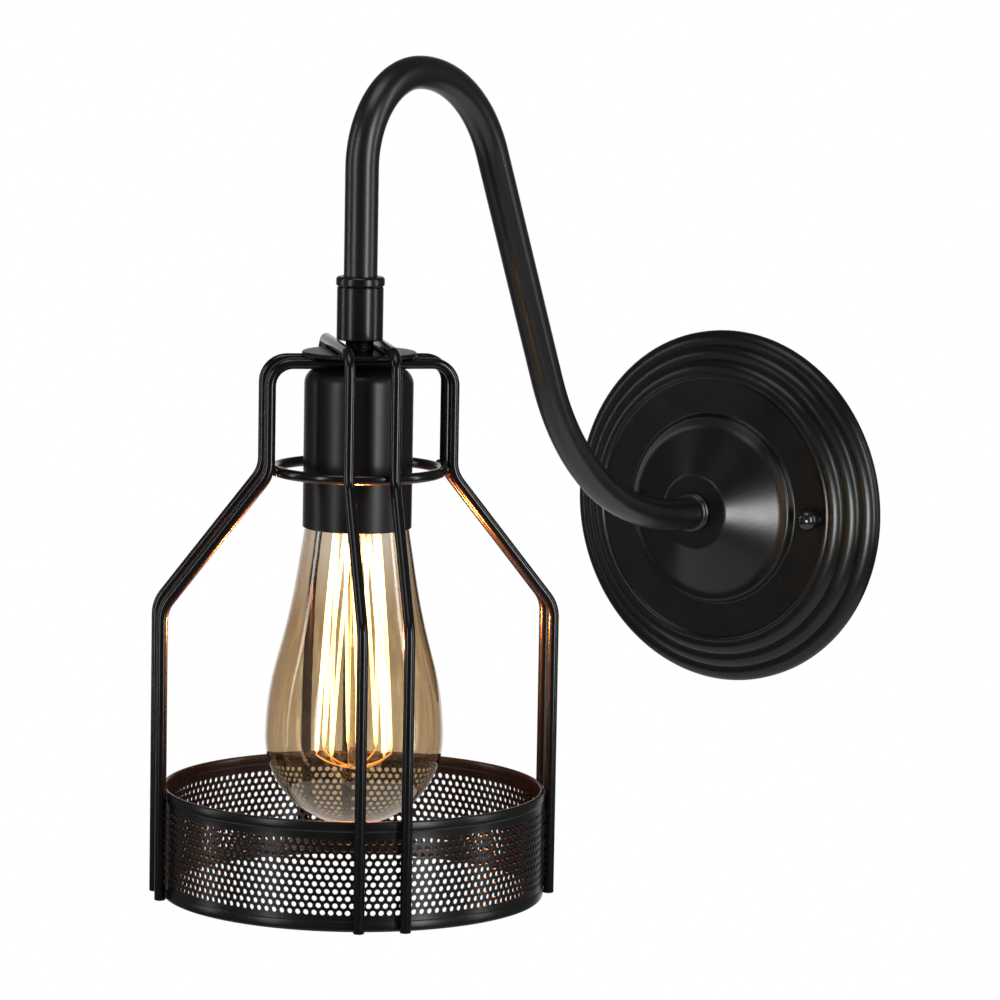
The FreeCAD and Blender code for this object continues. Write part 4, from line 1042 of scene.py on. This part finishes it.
def hot_wire():
    """Glowing wire: white hot between its ends, orange where the hooks draw off its heat."""
    finish = Finish("hot_filament", Roughness=0.5, Emission_Strength=9.0)
    low, high = FILAMENT_LOW + CAGE_TOP, FILAMENT_TOP + CAGE_TOP
    share = (finish.along("Z") - low) * (1 / (high - low))
    heat = (share * (1 - share) * 14.0).math("MINIMUM", 1.0)
    flicker = finish.noise(1.2 * MM) * 0.3
    glow = finish.mixed(heat - flicker + 0.1, (0.22, 0.07, 0.008, 1.0), (1.0, 0.66, 0.26, 1.0))
    return finish.feed(
        Base_Color=finish.mixed(flicker, (0.5, 0.3, 0.12, 1.0), (0.8, 0.5, 0.2, 1.0)),
        Emission_Color=glow)


def hot_hook():
    """Molybdenum wire that the filament lights and warms to a dull orange."""
    finish = Finish("hook_wire", Metallic=1.0, Roughness=0.3, Emission_Strength=1.0)
    patch = finish.noise(1.5 * MM)
    return finish.feed(
        Base_Color=finish.mixed(patch, (0.75, 0.45, 0.2, 1.0), (0.95, 0.65, 0.3, 1.0)),
        Emission_Color=finish.mixed(patch, (0.35, 0.09, 0.01, 1.0), (0.9, 0.35, 0.05, 1.0)))


step = 2 * math.pi / HOOKS
low_hooks = hook_wires(np.arange(HOOKS) * step, REACH_LOW + HOOK_PAST,
                       STEM_LOW + LOW_HOOK_UP, FILAMENT_LOW + HOOK_PAST)
top_hooks = hook_wires((np.arange(HOOKS) + 0.5) * step, REACH_TOP + HOOK_PAST,
                       FILAMENT_TOP - TOP_HOOK_DOWN, FILAMENT_TOP - HOOK_PAST)
points, faces = joined(low_hooks + top_hooks)
make_piece("hooks", at_cage(points), faces, "bulb", hot_hook(), ["filament_hooks"])
points, faces = joined(filament_runs())
make_piece("filament_coil", at_cage(points), faces, "bulb", hot_wire(),
           ["filament"])
# these would block the small lights that stand among them
for word in ("hooks", "filament_coil", "stem"):
    bpy.data.objects[word].visible_diffuse = False
    bpy.data.objects[word].visible_glossy = False
    bpy.data.objects[word].visible_shadow = False


# ---- Bulb: the filament's own light ----
# Two warm lights in the middle of the filament: one for the wires round the bulb, one for the
# band, the cup and what is inside the glass. Both come out with the bulb.
GLOW = (1.0, 0.24, 0.06)


def lights_only(lamp, *beginnings):
    """Limits a lamp to the pieces whose names begin with one of these words."""
    lit = bpy.data.collections.new(f"lit_by_{lamp.name}")
    for piece in bpy.data.objects:
        if piece.type == "MESH" and piece.name.startswith(beginnings):
            lit.objects.link(piece)
    lamp.light_linking.receiver_collection = lit


def bulb_light(name, power, size, *beginnings):
    """The filament's own light on the parts round it, as a warm ball inside the glass."""
    glow = bpy.data.objects.new(name, bpy.data.lights.new(name, "POINT"))
    glow.data.energy = power
    glow.data.color = GLOW
    glow.data.shadow_soft_size = size
    glow.location = at_cage([(0, 0, (FILAMENT_LOW + FILAMENT_TOP) / 2)])[0]
    glow.visible_camera = glow.visible_transmission = False
    bpy.context.scene.collection.objects.link(glow)
    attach(glow, "bulb")
    lights_only(glow, *beginnings)


bulb_light("glow_on_wires", 3.2, 3 * MM, "wire_", "neck_", "welds")
bulb_light("glow_on_cage", 0.9, 5 * MM, "band", "cup", "hooks", "stem")


# ---- Floor, background and studio light ----
# A pale floor well below the lamp that fades into a white surround, and soft boxes three metres
# off: one on either side of the camera, one for the canopy, two at the far sides, one above.
FLOOR_Z = -1.3
FLOOR_R = 1.6
FADE_AT = 1.2               # the floor is as white as the surround from here out
FLOOR_SPECK = 0.02
FLOOR_SEEN = 0.12           # share of the floor's own shading that the camera sees at its middle
SOFT_BOXES = (("soft_right", (2.92, -0.92, 0.55), (0.60, 2.6), 53.0),
              ("soft_left", (-0.67, -3.17, 0.55), (0.40, 2.6), 24.5),
              ("soft_canopy", (1.27, -2.72, -0.30), (0.6, 0.8), 60.0),
              ("soft_edge_left", (-2.60, -1.90, 0.55), (0.30, 2.6), 13.5),
              ("soft_edge_right", (2.55, 1.15, 0.55), (0.30, 2.6), 18.0),
              ("soft_top", (0.1, -0.9, 2.6), (1.6, 1.2), 13.5))
LIT_POINT = Vector((0, -0.2, 0))
ROOM = 0.10                 # how bright the room behind the camera is, where gloss shows it
FLOOR_GLOSS = 0.15          # how white the floor is where gloss shows it
FILL = 0.35                 # the surround's light on the lamp
BACKDROP_FROM = 0.85        # cosine of the angle at which gloss begins to see the backdrop
BACKDROP_RISE = 8.0


def seen_white(nodes, gloss):
    """How white the surround is to a ray: 1 from the camera or through glass, less off gloss."""
    rays = [nodes.node("ShaderNodeLightPath", output=f"Is {kind} Ray")
            for kind in ("Camera", "Transmission", "Glossy")]
    return rays[0].math("MAXIMUM", rays[1]).math("MAXIMUM", rays[2] * gloss)


v = round_angles(64)
rim = np.stack([FLOOR_R * np.cos(v), FLOOR_R * np.sin(v), np.full(64, FLOOR_Z)], 1)
floor_mesh = bpy.data.meshes.new("floor")
floor_mesh.from_pydata(rim.tolist(), [], [tuple(range(64))])
floor = bpy.data.objects.new("floor", floor_mesh)
bpy.context.scene.collection.objects.link(floor)
pale = Finish("pale_floor", Roughness=0.8)
speck = pale.noise(FLOOR_SPECK, 3.0)
pale.feed(Base_Color=pale.mixed(speck, (0.86, 0.86, 0.86, 1.0), (0.90, 0.90, 0.90, 1.0)))
white = pale.node("ShaderNodeEmission", {"Color": (1, 1, 1, 1), "Strength": 1.0}, output="Emission")
from_middle = (pale.along("X").math("POWER", 2.0) + pale.along("Y").math("POWER", 2.0)).math("SQRT")
faded = (from_middle * (FLOOR_SEEN / FADE_AT) + (1 - FLOOR_SEEN)).math("MINIMUM", 1.0)
floor_mesh.materials.append(pale.cover(seen_white(pale, FLOOR_GLOSS) * faded, white))

world = bpy.data.worlds.new("studio")
bpy.context.scene.world = world
world.use_nodes = True
surround = Nodes(world.node_tree)
ground = world.node_tree.nodes["Background"]
away = (CAMERA_TARGET - CAMERA_AT).normalized()
facing = surround.node("ShaderNodeVectorMath", {0: surround.place(), 1: tuple(away)},
                       output="Value", operation="DOT_PRODUCT")
backdrop = ((facing - BACKDROP_FROM) * BACKDROP_RISE).math("MAXIMUM", 0.0).math("MINIMUM", 1.0)
diffuse = surround.node("ShaderNodeLightPath", output="Is Diffuse Ray")
strength = seen_white(surround, backdrop * (1 - ROOM) + ROOM) + diffuse * FILL
surround.join(strength, ground.inputs["Strength"])
ground.inputs["Color"].default_value = (1, 1, 1, 1)

for name, at, size, power in SOFT_BOXES:
    lamp = bpy.data.objects.new(name, bpy.data.lights.new(name, "AREA"))
    lamp.data.shape = "RECTANGLE"
    lamp.data.size, lamp.data.size_y = size
    lamp.data.energy = power
    lamp.location = at
    lamp.visible_camera = False
    lamp.rotation_euler = (LIT_POINT - Vector(at)).to_track_quat("-Z", "Y").to_euler()
    bpy.context.scene.collection.objects.link(lamp)
    if name == "soft_canopy":
        lights_only(lamp, "canopy", "ball_nut", "collar")

bpy.context.scene.view_settings.view_transform = "Standard"
